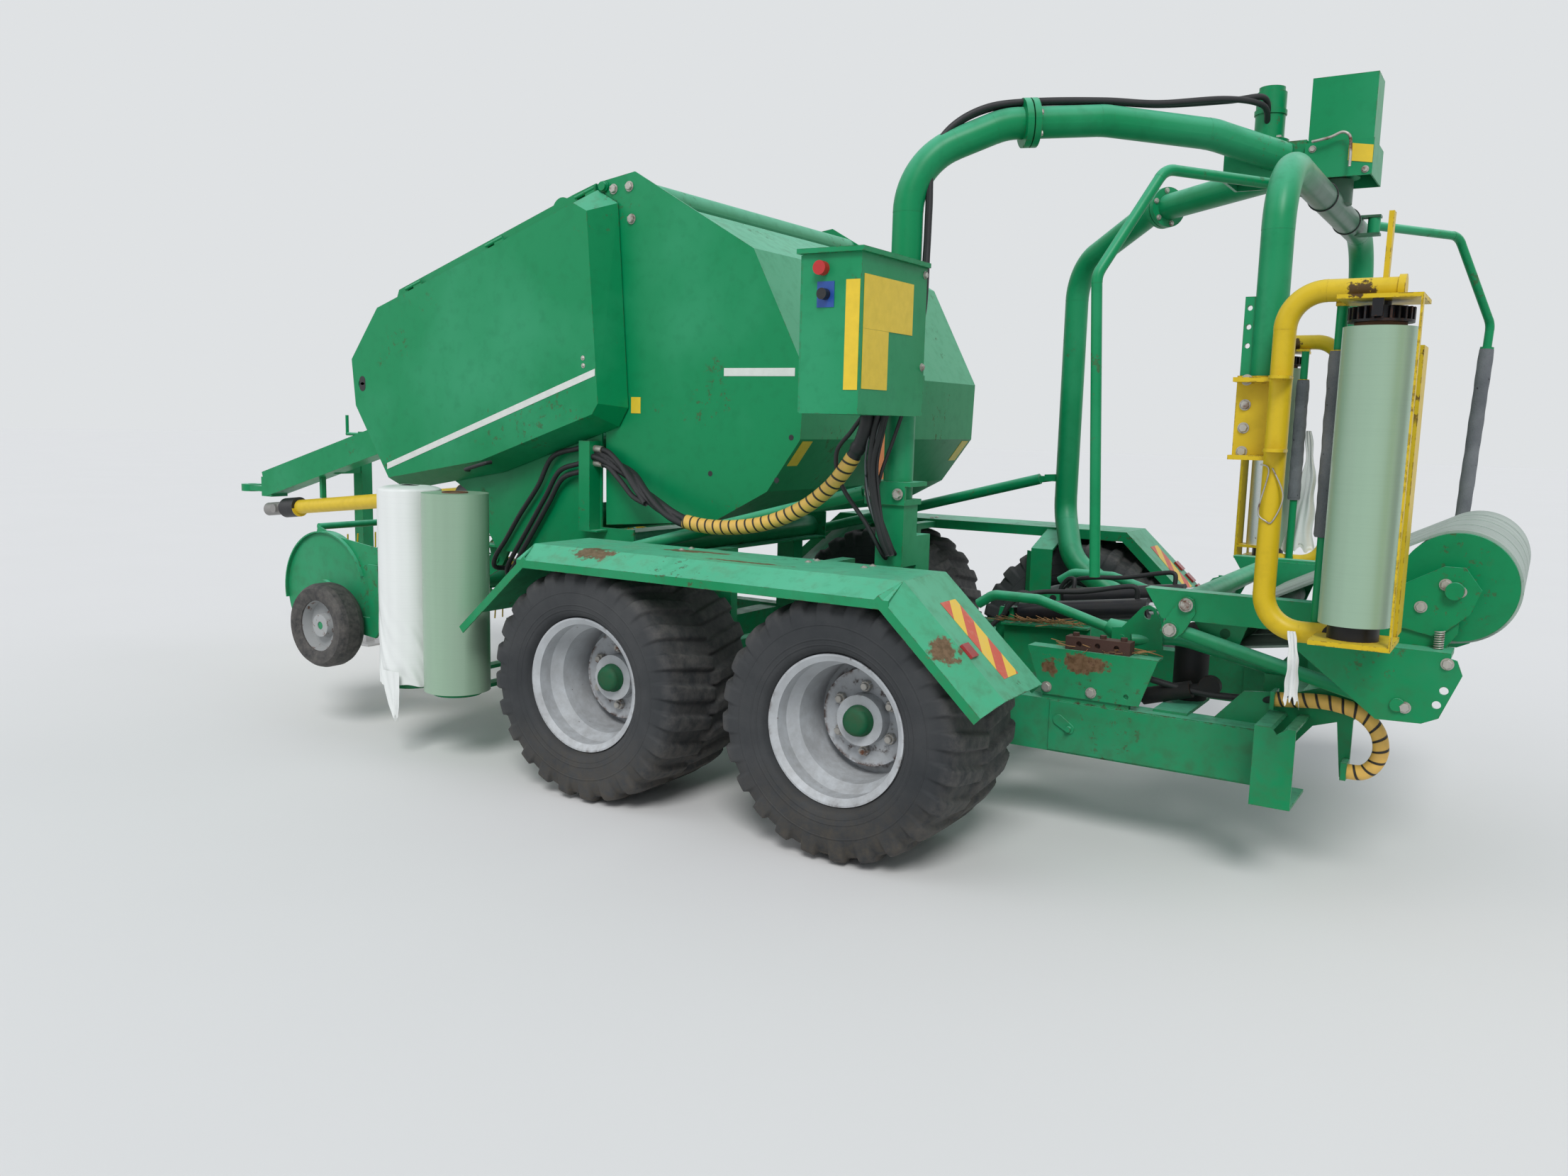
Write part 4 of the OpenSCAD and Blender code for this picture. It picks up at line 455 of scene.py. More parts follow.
slot_of = {s["node"]: s["material_slot"] for s in frame["record"]["subparts"]}
own_finish = {"rotor_arm": "rotor_green", "side_bracket": "bracket_green", "mudguards": "guard_green",
              "dispenser_left": "dispenser_paint", "dispenser_right": "dispenser_paint", "tail_lamps": "tail_lamp",
              "gauge_wheel_left": "gauge_tyre", "gauge_wheel_right": "gauge_tyre"}
for name, obj in nodes.items():
    obj.data.materials.clear()
    obj.data.materials.append(finishes[own_finish.get(name, slot_of[name])])


# Surfaces: each is a grid or a profile worked out as arrays, then put into a mesh

def unit(v):
    v = np.asarray(v, float)
    return v / np.linalg.norm(v, axis=-1, keepdims=True)


def from_arrays(name, points, quads, finish, body, uv=None, smooth=True, round_tube=False):
    """A mesh object from points (n, 3) and faces (m, 4) or (m, 3); uv is one pair for each point.

    On a round tube the second of the pair is in turns, and faces that cross its seam go on to a full turn."""
    mesh = bpy.data.meshes.new(name)
    quads = np.asarray(quads)
    mesh.vertices.add(len(points))
    mesh.vertices.foreach_set("co", np.asarray(points, np.float32).ravel())
    mesh.loops.add(quads.size)
    mesh.loops.foreach_set("vertex_index", quads.astype(np.int32).ravel())
    mesh.polygons.add(len(quads))
    mesh.polygons.foreach_set("loop_start", np.arange(0, quads.size, quads.shape[1], dtype=np.int32))
    mesh.polygons.foreach_set("loop_total", np.full(len(quads), quads.shape[1], np.int32))
    mesh.polygons.foreach_set("use_smooth", np.full(len(quads), smooth))
    if uv is not None:
        layer = mesh.uv_layers.new(name="UVMap")
        pairs = np.asarray(uv, np.float32)[quads]
        if round_tube:
            crossing = np.ptp(pairs[..., 1], axis=1) > 0.5
            pairs[..., 1] += (pairs[..., 1] < 0.5) & crossing[:, None]
        layer.data.foreach_set("uv", pairs.ravel())
    mesh.update(calc_edges=True)
    mesh.validate()
    mesh.materials.append(finishes[finish])
    obj = bpy.data.objects.new(name, mesh)
    bpy.context.scene.collection.objects.link(obj)
    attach(obj, body)
    return obj


def grid_faces(rows, columns, closed_rows=False, closed_columns=False):
    """Quads of a grid of points numbered row by row; a closed way joins its last line to its first."""
    i = np.arange(rows if closed_rows else rows - 1)
    j = np.arange(columns if closed_columns else columns - 1)
    i, j = (a.ravel() for a in np.meshgrid(i, j, indexing="ij"))
    i1, j1 = (i + 1) % rows, (j + 1) % columns
    return np.stack([i * columns + j, i1 * columns + j, i1 * columns + j1, i * columns + j1], 1)


def smooth_path(points, count):
    """Catmull-Rom curve through the points: the usual cubic of each four neighbours, at count places."""
    p = np.asarray(points, float)
    p = np.vstack([p[:1], p, p[-1:]])
    t = np.linspace(0, len(p) - 3 - 1e-9, count)
    k = t.astype(int)
    s = (t - k)[:, None]
    a, b, c, d = p[k], p[k + 1], p[k + 2], p[k + 3]
    return 0.5 * (2 * b + (c - a) * s + (2 * a - 5 * b + 4 * c - d) * s ** 2
                  + (3 * b - a - 3 * c + d) * s ** 3)


def distances(path):
    """How far along the path each of its points lies."""
    return np.concatenate([[0], np.cumsum(np.linalg.norm(np.diff(path, axis=0), axis=1))])


def swept(path, radius, sides):
    """A tube: a circle carried along the path, square to its tangent, with the frame turned least.

    Returns points, triangles and UV pairs, in metres along and turns round. radius is one number, one for
    each path point, or one for each point and side."""
    path = np.asarray(path, float)
    n = len(path)
    tangent = unit(np.gradient(path, axis=0))
    normal = np.zeros_like(path)
    normal[0] = unit(np.cross(tangent[0], [0, 0, 1.0] if abs(tangent[0, 2]) < 0.9 else [1.0, 0, 0]))
    for i in range(1, n):
        normal[i] = unit(normal[i - 1] - tangent[i] * (normal[i - 1] @ tangent[i]))
    binormal = np.cross(tangent, normal)
    angle = np.linspace(0, 2 * np.pi, sides, endpoint=False)
    ring = normal[:, None] * np.cos(angle)[None, :, None] + binormal[:, None] * np.sin(angle)[None, :, None]
    r = np.asarray(radius, float)
    r = np.broadcast_to(r if r.ndim == 2 else r.reshape(-1, 1), (n, sides))[..., None]
    points = (path[:, None] + ring * r).reshape(-1, 3)
    faces = grid_faces(n, sides, closed_columns=True)[:, ::-1]
    j = np.arange(sides)
    following, last, hub = (j + 1) % sides, (n - 1) * sides, np.full(sides, n * sides)
    tris = np.vstack([faces[:, [0, 1, 2]], faces[:, [0, 2, 3]], np.stack([hub, j, following], 1),
                      np.stack([hub + 1, last + following, last + j], 1)])
    along = distances(path)
    uv = np.stack(np.broadcast_arrays(along[:, None], (angle / (2 * np.pi))[None]), -1).reshape(-1, 2)
    return np.vstack([points, path[:1], path[-1:]]), tris, np.vstack([uv, [[0, 0]], [[along[-1], 0]]])


def joined(parts):
    """Several (points, faces) as one pair, faces renumbered."""
    points, faces, start = [], [], 0
    for p, f in parts:
        points.append(p)
        faces.append(np.asarray(f) + start)
        start += len(p)
    return np.vstack(points), np.vstack(faces)


def copies(points, faces, places, axes, spins, sizes=1.0):
    """One small shape drawn around +Z, copied to each place with its Z along that axis, turned and sized."""
    places, axes, faces = np.asarray(places, float), unit(axes), np.asarray(faces)
    n = len(places)
    helper = np.where(np.abs(axes[:, 2:3]) < 0.9, [[0, 0, 1.0]], [[1.0, 0, 0]])
    side = unit(np.cross(helper, axes))
    other = np.cross(axes, side)
    c, s = np.cos(spins)[:, None], np.sin(spins)[:, None]
    turn = np.stack([side * c + other * s, other * c - side * s, axes], 2)
    sizes = np.broadcast_to(sizes, n)[:, None, None]
    out = np.einsum("nij,pj->npi", turn, points) * sizes + places[:, None]
    renumbered = faces[None] + (np.arange(n) * len(points))[:, None, None]
    return out.reshape(-1, 3), renumbered.reshape(-1, faces.shape[1])


def turned(profile, sides):
    """A profile of (radius, z) pairs turned round Z; a radius of 0 closes it at a pole."""
    profile = np.asarray(profile, float)
    angle = np.linspace(0, 2 * np.pi, sides, endpoint=False)
    points = np.stack([profile[:, :1] * np.cos(angle), profile[:, :1] * np.sin(angle),
                       np.broadcast_to(profile[:, 1:], (len(profile), sides))], -1).reshape(-1, 3)
    return points, grid_faces(len(profile), sides, closed_columns=True)[:, ::-1]


def hex_bolt(size):
    """A washer and a six-sided head with its top edge taken off; size is the head's radius."""
    washer = np.array([(0, 0), (1.35, 0), (1.35, 0.22), (0, 0.22)]) * size
    head = np.array([(0, 0.2), (1.1, 0.2), (1.1, 0.75), (0.95, 0.9), (0, 0.92)]) * size
    return joined([turned(washer, 16), turned(head, 6)])


def round_bolt(size):
    """Domed head on a washer: the dome's height falls with the square of the radius."""
    dome = [(a, 0.2 + 0.55 * (1 - a * a)) for a in np.linspace(1, 0, 6)]
    return turned(np.array([(0, 0), (1.3, 0), (1.3, 0.2)] + dome) * size, 16)


def hole_shade_disc(size):
    """Painted shade of a small open hole: a dark round face on the plate, standing for the shaded inside."""
    return turned([(0, 0), (size, 0), (size, 0.0006), (0, 0.0006)], 24)


def place(*points):
    """Points in millimetres from the middle between the axles, as rows in metres in the machine's frame."""
    return np.asarray(points, float) / 1000 + [BOGIE_X, 0, 0]


def half_turn(points):
    """The same points on the rotor's other side, half a turn round its axis."""
    return points * [-1, -1, 1] + [2 * ROTOR[0], 0, 0]


def mirrored(points):
    """The same points on the machine's other side."""
    return points * [1, -1, 1]


make_camera()


# Floor, light and background

LAMPS = (("key", (3.2, -6.0, 6.6), 22, 1.75), ("fill", (-6.0, -5.0, 4.0), 45, 0.40),
         ("back", (4.0, 7.0, 5.0), 45, 0.30))      # where from, how wide in degrees, how bright


def stage():
    """A wide pale floor, three soft suns, and a pale world that only the camera and reflections see."""
    half, z = 60, -0.002
    mesh = bpy.data.meshes.new("floor")
    mesh.from_pydata([(-half, -half, z), (half, -half, z), (half, half, z), (-half, half, z)], [], [(0, 1, 2, 3)])
    ground = Finish("floor", specular=0.2)
    colour = ground.mix(ground.noise(0.8, 3) * 0.4, (0.80, 0.795, 0.785), (0.74, 0.735, 0.725))
    mesh.materials.append(ground.set(colour, 0.85))
    floor = bpy.data.objects.new("floor", mesh)
    bpy.context.scene.collection.objects.link(floor)
    for name, at, angle, strength in LAMPS:
        light = bpy.data.lights.new(name, "SUN")
        light.angle, light.energy = math.radians(angle), strength
        lamp = bpy.data.objects.new(name, light)
        lamp.rotation_euler = (-Vector(at)).to_track_quat("-Z", "Y").to_euler()
        bpy.context.scene.collection.objects.link(lamp)
    world = bpy.data.worlds.new("world")
    bpy.context.scene.world = world
    world.use_nodes = True
    tree = world.node_tree
    plain, seen = tree.nodes["Background"], tree.nodes.new("ShaderNodeBackground")
    plain.inputs[0].default_value, plain.inputs[1].default_value = (0.86, 0.92, 1.0, 1), 0.50
    seen.inputs[0].default_value, seen.inputs[1].default_value = (0.74, 0.76, 0.775, 1), 1.0
    rays, both = tree.nodes.new("ShaderNodeLightPath"), tree.nodes.new("ShaderNodeMixShader")
    camera, glossy, through = (Socket(tree, rays.outputs[n]) for n in
                               ("Is Camera Ray", "Is Glossy Ray", "Is Transmission Ray"))
    tree.links.new(camera.larger(glossy).larger(through).out, both.inputs[0])
    tree.links.new(plain.outputs[0], both.inputs[1])
    tree.links.new(seen.outputs[0], both.inputs[2])
    tree.links.new(both.outputs[0], tree.nodes["World Output"].inputs[0])
    bpy.context.scene.view_settings.view_transform = "Standard"


stage()


# Shared ways to put pieces on

def bolts(name, body, places, axis, size, kind=hex_bolt):
    """Bolt heads, or dark discs of painted shade standing for holes, at the places, facing along the axis; each is
    turned a little further.
    """
    axes = np.broadcast_to(np.asarray(axis, float), places.shape)
    points, faces = copies(*kind(size), places, axes, 0.4 * (1 + np.arange(len(places))))
    from_arrays(name, points, faces, "black_rubber" if kind is hole_shade_disc else "bolt_zinc", body, smooth=False)


def both_sides(name, body, points, size, other=mirrored):
    """Bolts on the left side, and on the right where other takes them."""
    places = place(*points)
    bolts(name + "_left", body, places, OUT_LEFT, size)
    bolts(name + "_right", body, other(places), OUT_RIGHT, size)


def tube(name, body, route, radius, count=60, sides=10, finish="black_rubber"):
    """A round bar, hose or lead along the curve through the route, which is in millimetres."""
    points, faces, uv = swept(smooth_path(place(*route), count), radius, sides)
    from_arrays(name, points, faces, finish, body, uv)


def area_of(points, quads):
    """The area of a surface of quads, each taken as two triangles."""
    a, b, c, d = (points[quads[:, i]] for i in range(4))
    return float(sum(np.linalg.norm(np.cross(p - a, q - a), axis=1).sum() for p, q in ((b, c), (c, d))) / 2)


# Tyres

def tyre_surface(lugs=24, around=540, across=72):
    """A tyre about its own axis, as rows round it and columns across it.

    Two profiles from bead to bead, the plain carcass and the outline over the lugs, are blended by a mask
    that is 1 on a lug. On each half a lug's middle line moves round the tyre in proportion to the distance
    from the centre plane, and the other half's lugs stand half a pitch further on."""
    bead = [(215.1, -194.5), (232.6, -204.8), (245, -230.0), (262, -238.5), (281, -242.8), (306, -244.4)]
    plain = bead + [(334, -242.0), (360, -234.0), (380, -220.5), (390.5, -195), (393.5, -155), (394, -100),
                    (394, -48), (394, 0)]
    lugged = bead + [(338, -243.8), (368, -241.2), (389, -233.0), (402.5, -211), (408.5, -165), (409.8, -105),
                     (409.9, -50), (409.9, 0)]
    whole = [np.vstack([p, p[-2::-1] * [1, -1]]) for p in (np.array(plain) / 1000, np.array(lugged) / 1000)]
    low, high = (smooth_path(p, across) for p in whole)
    angle = np.linspace(0, 2 * np.pi, around, endpoint=False)[:, None]
    pitch, tread = 2 * np.pi / lugs, 0.394
    mask = np.zeros((around, across))
    for half, offset in ((1, 0.0), (-1, 0.5)):
        out = half * low[:, 1][None]
        line = (-0.012 + (out + 0.010) * 0.192) / tread + offset * pitch
        gap = np.abs((angle - line + pitch / 2) % pitch - pitch / 2) * tread
        width = 0.022 + 0.006 * np.clip(out / 0.24, 0, 1)
        inside = np.clip((width - gap) / 0.008 + 0.5, 0, 1) * np.clip((out + 0.012) / 0.008, 0, 1)
        mask = np.maximum(mask, inside)
    mask = mask * mask * (3 - 2 * mask)
    outline = low[None] + mask[..., None] * (high - low)[None]
    points = np.stack([outline[..., 0] * np.cos(angle), outline[..., 0] * np.sin(angle), outline[..., 1]], -1)
    return points.reshape(-1, 3), grid_faces(around, across, closed_rows=True, closed_columns=True)


def on_wheel(points, end, side):
    """From a wheel's own axes, its outer face towards +Z, to its place; end and side are -1 or 1."""
    x, y, z = np.asarray(points, float).T
    return np.stack([BOGIE_X + end * AXLE_X + x, side * (WHEEL_Y + z), AXLE_Z - side * y], 1)


def wheel_pieces():
    """For each wheel: the lugged tyre, a green hub cap, six nuts with stud ends, and a tyre valve."""
    surface, faces = tyre_surface()
    cap = turned([(0, 0.056), (0.050, 0.056), (0.050, 0.062), (0.0455, 0.064), (0.0450, 0.082), (0.041, 0.090),
                  (0.030, 0.096), (0.012, 0.0985), (0, 0.0985)], 40)
    nut = joined([turned([(0, 0), (0.0245, 0), (0.0245, 0.003), (0, 0.003)], 20),
                  turned([(0, 0.003), (0.0188, 0.003), (0.0188, 0.021), (0.0165, 0.0238), (0, 0.0238)], 6),
                  turned([(0, 0.0238), (0.0116, 0.0238), (0.0116, 0.032), (0.0100, 0.0345), (0, 0.0345)], 12)])
    turns = np.radians(np.arange(6) * 60 + 30)
    at = np.stack([0.1025 * np.cos(turns), 0.1025 * np.sin(turns), np.full(6, 0.0038)], 1)
    nuts = copies(*nut, at, np.tile([0, 0, 1.0], (6, 1)), turns * 3)
    valve = swept(smooth_path([(0.2015, 0, 0.050), (0.197, 0, 0.072), (0.194, 0, 0.100)], 12), 0.0055, 10)
    for end, side, name in ((-1, -1, "front_left"), (1, -1, "rear_left"), (-1, 1, "front_right"),
                            (1, 1, "rear_right")):
        body = "wheel_" + name
        tyre = from_arrays("lugged_tyre_" + name, on_wheel(surface, end, side), faces, "tyre_rubber", body)
        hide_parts("tyre_" + name)
        from_arrays("hub_cap_" + name, on_wheel(cap[0], end, side), cap[1], "dark_green_paint", body)
        from_arrays("wheel_nuts_" + name, on_wheel(nuts[0], end, side), nuts[1], "bolt_zinc", body, smooth=False)
        from_arrays("valve_" + name, on_wheel(valve[0], end, side), valve[1], "black_rubber", body)


wheel_pieces()


# The two hoses that stand for CAD pieces

FRONT_ROUTE = [(-870, -752, 1165), (-845, -752, 1165), (-780, -752, 1146), (-680, -770, 1105), (-560, -820, 1040),
               (-420, -864, 980), (-300, -874, 952), (-154, -880, 950), (0, -880, 975), (140, -884, 1030),
               (245, -892, 1100), (320, -904, 1175), (372, -914, 1250), (396, -920, 1310), (400, -920, BOX_FOOT)]
REAR_ROUTE = [(1596, -548, 540), (1650, -548, 545), (1700, -548, 550), (1760, -548, 549), (1827, -548, 532),
              (1872, -548, 490), (1887, -548, 435), (1874, -548, 389), (1845, -548, 362), (1804, -548, 358)]


def cad_hose(name, node, finish, path, radius, sides):
    """A stiff hose shown in place of the CAD's."""
    points, faces, uv = swept(path, radius, sides)
    hose = from_arrays(name, points, faces, finish, "chassis", uv, round_tube=True)
    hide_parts(node)


def front_hose():
    """Three black hoses twisted together, then inside one yellow spiral guard, then a black sleeve.

    Where the hoses are bare the outline is that of three circles round the line: the nearest circle's
    centre is d away at angle a, so its edge is d cos a + sqrt(r^2 - d^2 sin^2 a)."""
    path = smooth_path(place(*FRONT_ROUTE), 260)
    along = distances(path)[:, None]
    sides, d, r, twist = 30, 0.0125, 0.0122, 9
    angle = np.linspace(0, 2 * np.pi, sides, endpoint=False)[None]
    third = 2 * np.pi / 3
    near = (angle - along * twist + third / 2) % third - third / 2
    lobes = d * np.cos(near) + np.sqrt(r ** 2 - (d * np.sin(near)) ** 2)
    guard = np.clip((along - 0.582) / 0.010, 0, 1)
    sleeve = np.clip((along - 1.362) / 0.006, 0, 1)
    band = (np.abs(along - 1.395) < 0.012) * 0.0025
    radius = lobes * (1 - guard) + 0.0255 * guard - 0.003 * sleeve + band
    cad_hose("front_hoses", "hose_front", "front_guard", path, radius, sides)


front_hose()
cad_hose("rear_hose", "hose_rear", "rear_guard", smooth_path(place(*REAR_ROUTE), 120), 0.0218, 20)


# Panels, stripes and blank plates

def flat_plate(name, body, corner, along, across, finish, thick=0.0012, lift=0.0004):
    """A thin plate on a face: a corner and two sides in millimetres, raised a little along their cross product."""
    along, across = np.asarray(along, float) / 1000, np.asarray(across, float) / 1000
    up = unit(np.cross(along, across))
    u, v = np.array([(0, 0), (0, 1), (1, 0), (1, 1)]).T[..., None]
    bottom = place(corner) + up * lift + u * along + v * across
    rim = np.array([0, 1, 3, 2])
    behind = np.roll(rim, -1)
    faces = np.vstack([[0, 2, 3, 1], [5, 7, 6, 4], np.stack([rim, behind, behind + 4, rim + 4], 1)])
    uv = np.hstack([u * np.linalg.norm(along), v * np.linalg.norm(across)])
    points = np.vstack([bottom + up * thick, bottom])
    from_arrays(name, points, faces, finish, body, np.vstack([uv, uv]), smooth=False)


flat_plate("hazard_panel_left", "chassis", (764, -1114, 807), (208, 0, -196), (0, 103, 0), "hazard")
flat_plate("hazard_panel_right", "chassis", (764, 1052, 807), (175, -42, -165), (0, 103, 0), "hazard")
flat_plate("gate_stripe_left", "tailgate", (-292, GATE_LEFT, 1471), (297, 0, 0), (0, 0, 28), "white_stripe")
flat_plate("gate_stripe_right", "tailgate", (5, -GATE_LEFT, 1471), (-297, 0, 0), (0, 0, 28), "white_stripe")
flat_plate("cover_stripe_left", "cover_left", (-1940, COVER_LEFT, 1075), (1155, 0, 391), (0, 0, 26), "white_stripe")
flat_plate("cover_stripe_right", "cover_right", (-785, -COVER_LEFT, 1466), (-1155, 0, -391), (0, 0, 26),
           "white_stripe")
flat_plate("hood_plate", "chassis", (1604, -112, 2152), (69, 0, -12), (0, 0, 52), "yellow_plate")
flat_plate("gate_plate_left", "tailgate", (-33.5, -700, 1163), (0, 66, 0), (62.3, 0, 87), "yellow_plate")
flat_plate("gate_label", "tailgate", (-716, GATE_LEFT, 1333), (45, 0, 0), (0, 0, 60), "yellow_plate")
flat_plate("gate_plate_right", "tailgate", (-33.5, 634, 1163), (0, 66, 0), (62.3, 0, 87), "yellow_plate")
flat_plate("gate_sign", "tailgate", (37.0, -178, 1100), (0, 124, 0), (3.6, 0, 230), "orange_plate",
           thick=0.002)
flat_plate("box_plate_rear_top", "chassis", (BOX_REAR, -1252, 1582), (0, 306, 0), (0, 0, 150), "yellow_plate")
flat_plate("box_plate_rear_low", "chassis", (BOX_REAR, -1252, 1414), (0, 154, 0), (0, 0, 167.5), "yellow_plate")
flat_plate("box_plate_side", "chassis", (508, -1268, 1410), (45, 0, 0), (0, 0, 305), "yellow_plate")
# The cover's slot is a thin black plate on the face: painted shade for the opening
flat_plate("cover_slot", "cover_left", (-2107, COVER_LEFT, 1419), (38, 0, 0), (0, 0, 26), "black_rubber",
           thick=0.0004, lift=0.0001)


# Bolts

OUT_LEFT, OUT_RIGHT, UP, REAR = (0, -1, 0), (0, 1, 0), (0, 0, 1), (1, 0, 0)


def ring_bolts(name, start, towards):
    """Six bolts on the ring clamped round an arch, square to the line from start to towards."""
    start, towards = place(start, towards)
    axis = unit(towards - start)
    side = unit(np.cross(axis, UP))
    turn = np.linspace(0, 2 * np.pi, 6, endpoint=False)[:, None] + 0.3
    round_it = side * np.cos(turn) + np.cross(side, axis) * np.sin(turn)
    bolts(name, "chassis", start + axis * 0.0975 + 0.061 * round_it, axis, 0.0078)


both_sides("clamp_bolts", "rotor", [(1513, -861, z) for z in (1457, 1391, 1330, 1267)], 0.011, half_turn)
both_sides("table_bolts", "table",
           [(2038, -706, 728), (1948, -706, 598), (2047, -635, 913), (2012, -635, 929), (1958, -635, 864)], 0.012)
both_sides("gate_bolts", "tailgate",
           [(x, GATE_LEFT, z) for x, z in ((-806, 2153), (-731, 2157), (-801, 2040), (-720, 2040))], 0.014)
ring_bolts("arch_ring_bolts_left", (690, -625, 2248), (941, -440, 2270))
ring_bolts("arch_ring_bolts_right", (834, 520, 2150), (1410, 75, 2169))
for name, body, axis, size, kind, points in (
        ("link_bolts", "table", OUT_LEFT, 0.0155, hex_bolt, [(1343, -640.5, 806), (1300, -640.5, 726)]),
        ("side_bracket_bolts", "chassis", OUT_LEFT, 0.013, hex_bolt, [(916, -606, 493), (1062, -606, 493)]),
        ("motor_bolts", "chassis", UP, 0.008, hex_bolt,
         [(1345 + a, b, 2256) for a in (-38, 38) for b in (-38, 38)]),
        ("post_clamp_bolts", "chassis", OUT_LEFT, 0.0138, hex_bolt, [(389, -868, 1098), (489, -868, 1098)]),
        ("guard_bolts_left", "chassis", UP, 0.009, round_bolt,
         [(x, y, GUARD_TOP) for x in (-252, 252, 455) for y in (-955, -1010)]),
        ("guard_bolts_right", "chassis", UP, 0.009, round_bolt,
         [(x, y, GUARD_TOP) for x in (-252, 383) for y in (955, 1010)]),
        ("hood_bolts", "chassis", OUT_LEFT, 0.008, hex_bolt,
         [(1500, -112, 2130), (1500, -112, 2195), (1655, -112, 2122)]),
        ("box_bolts", "chassis", REAR, 0.009, hex_bolt, [(BOX_REAR, -872, 1768), (BOX_REAR, -872, 1492)]),
        ("cover_rivets", "cover_left", OUT_LEFT, 0.007, round_bolt,
         [(-844, COVER_LEFT, 1531), (-842, COVER_LEFT, 1503)]),
        # The slot ends and the edge holes are dark discs: painted shade for the openings
        ("cover_slot_ends", "cover_left", OUT_LEFT, 0.019, hole_shade_disc,
         [(-2088, COVER_LEFT, 1419), (-2088, COVER_LEFT, 1445)]),
        ("gate_edge_holes", "tailgate", OUT_LEFT, 0.010, hole_shade_disc,
         [(x, GATE_LEFT, z) for x, z in ((-4, 1262), (-60, 1112), (-346, 1123))])):
    bolts(name, body, place(*points), axis, size, kind)


# Foam sleeves

def foam_sleeve(name, body, start, end, radius, turned_round=False):
    """Foam pushed over a rod: a tube whose radius swells and thins by under a millimetre, with rounded ends."""
    along = np.linspace(0, 1, 70)[:, None]
    path = place(start)[0] * (1 - along) + place(end)[0] * along
    if turned_round:
        path = half_turn(path)
    edge = np.minimum(along, 1 - along)[:, 0] / 0.012
    swell = 0.0006 * np.sin(along[:, 0] * 23) + 0.0005 * np.sin(along[:, 0] * 61 + 1)
    points, faces, uv = swept(path, (radius + swell) * (1 - 0.10 * np.clip(1 - edge, 0, 1) ** 2), 24)
    sleeve = from_arrays(name, points, faces, "foam_grey", body, uv)


foam_sleeve("foam_sleeve_left", "rotor", (1739, -900, 1055), (1739, -900, 1530), 0.0235)
foam_sleeve("foam_sleeve_right", "rotor", (1739, -900, 1055), (1739, -900, 1530), 0.0235, True)
foam_sleeve("arm_sleeve", "safety_right", (1950.6, 915.9, 916.7), (1977, 955.5, 1651.5), 0.0248)


# Film: cores, the bag on a stored roll, and torn strips

def core_ring(name, body, x, y, inner, outer, low, high):
    """The edge of a roll's cardboard core."""
    points, faces = turned([(inner, low), (outer, low), (outer, high), (inner, high), (inner, low)], 48)
    from_arrays(name, points + [x, y, 0], faces, "core_board", body, smooth=False)


for side, where in SIDES:
    core_ring("roll_core_" + where, "film_" + where, ROTOR[0] - side * FILM_X, side * FILM_Y, 0.0560, 0.0584,
              1.5771, 1.5869)
core_ring("stored_core", "chassis", BAG_X + 0.250, RACK_Y, 0.0385, 0.0475, 1.0262, 1.0300)


def stored_bag():
    """A white bag round a stored roll: a cylinder, nearly smooth above, with slanting folds low down.

    The folds are sines of angle plus height, so they run round as they rise; they grow towards the bottom and
    fade out half-way up. Above the roll the radius falls towards the neck."""
    around, rows, width = 200, 150, 0.80
    angle, height = np.meshgrid(np.linspace(0, 2 * np.pi, around, endpoint=False), np.linspace(0, 1, rows),
                                indexing="ij")
    neck = np.clip((height - 0.86) / 0.14, 0, 1)
    low = np.clip(1 - height / 0.42, 0, 1) ** 0.8
    slant = 9 * angle + 34 * height
    folds = (low * (0.75 * np.sin(slant) + 0.45 * np.sin(2 * slant + 3 * np.sin(3 * angle) + 1)
                    + 0.35 * np.sin(31 * height + 5 * angle)) + 0.16 * np.sin(3 * angle + 6 * height)
             + 0.22 * np.sin(17 * height + 2 * angle) * np.sin(2 * angle + 1))
    radius = 0.1185 + 0.0034 * folds - neck ** 1.5 * (0.080 + 0.006 * folds)
    z = 0.286 + 0.741 * np.clip(height / 0.86, 0, 1) + 0.016 * np.sin(neck * np.pi / 2) + 0.004 * folds * neck
    z = z + 0.006 * np.sin(5 * angle) * (1 - np.clip(height / 0.06, 0, 1))
    points = np.stack([BAG_X + radius * np.cos(angle), RACK_Y + radius * np.sin(angle), z], -1).reshape(-1, 3)
    faces = grid_faces(around, rows, closed_rows=True)
    bag = from_arrays("stored_bag", points, faces, "white_film", "chassis")
    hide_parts("stored_roll_bagged")
    area_of(points, faces) / width


def film_strip(name, body, top, bottom, widths, fold):
    """A torn strip of film hanging from top to bottom; it sways a little and folds across itself.

    widths are the half widths at both ends; fold is how far the folds stand out of the strip's plane."""
    top, bottom = place(top, bottom)
    down, over = (a[..., None] for a in np.meshgrid(np.linspace(0, 1, 70), np.linspace(-1, 1, 17), indexing="ij"))
    half = widths[0] + (widths[1] - widths[0]) * down ** 1.3 + 0.06 * widths[1] * np.sin(21 * down)
    shift = np.concatenate([
        0.2 * widths[1] * np.sin(5 * down) + over * half,
        fold * (np.sin(over * 4 + 5 * down) * (0.3 + down) + 0.6 * np.sin(over * 9)),
        0.010 * np.sin(over * 11) * (down > 0.97) - 0.020 * np.abs(over) * down], -1)
    points = (top + (bottom - top) * down + shift).reshape(-1, 3)
    faces = grid_faces(70, 17)
    strip = from_arrays(name, points, faces, "white_film", body)
    length, area = top[2] - bottom[2] + 0.04, area_of(points, faces)
    max(2 * max(widths), area / length * 1.02)


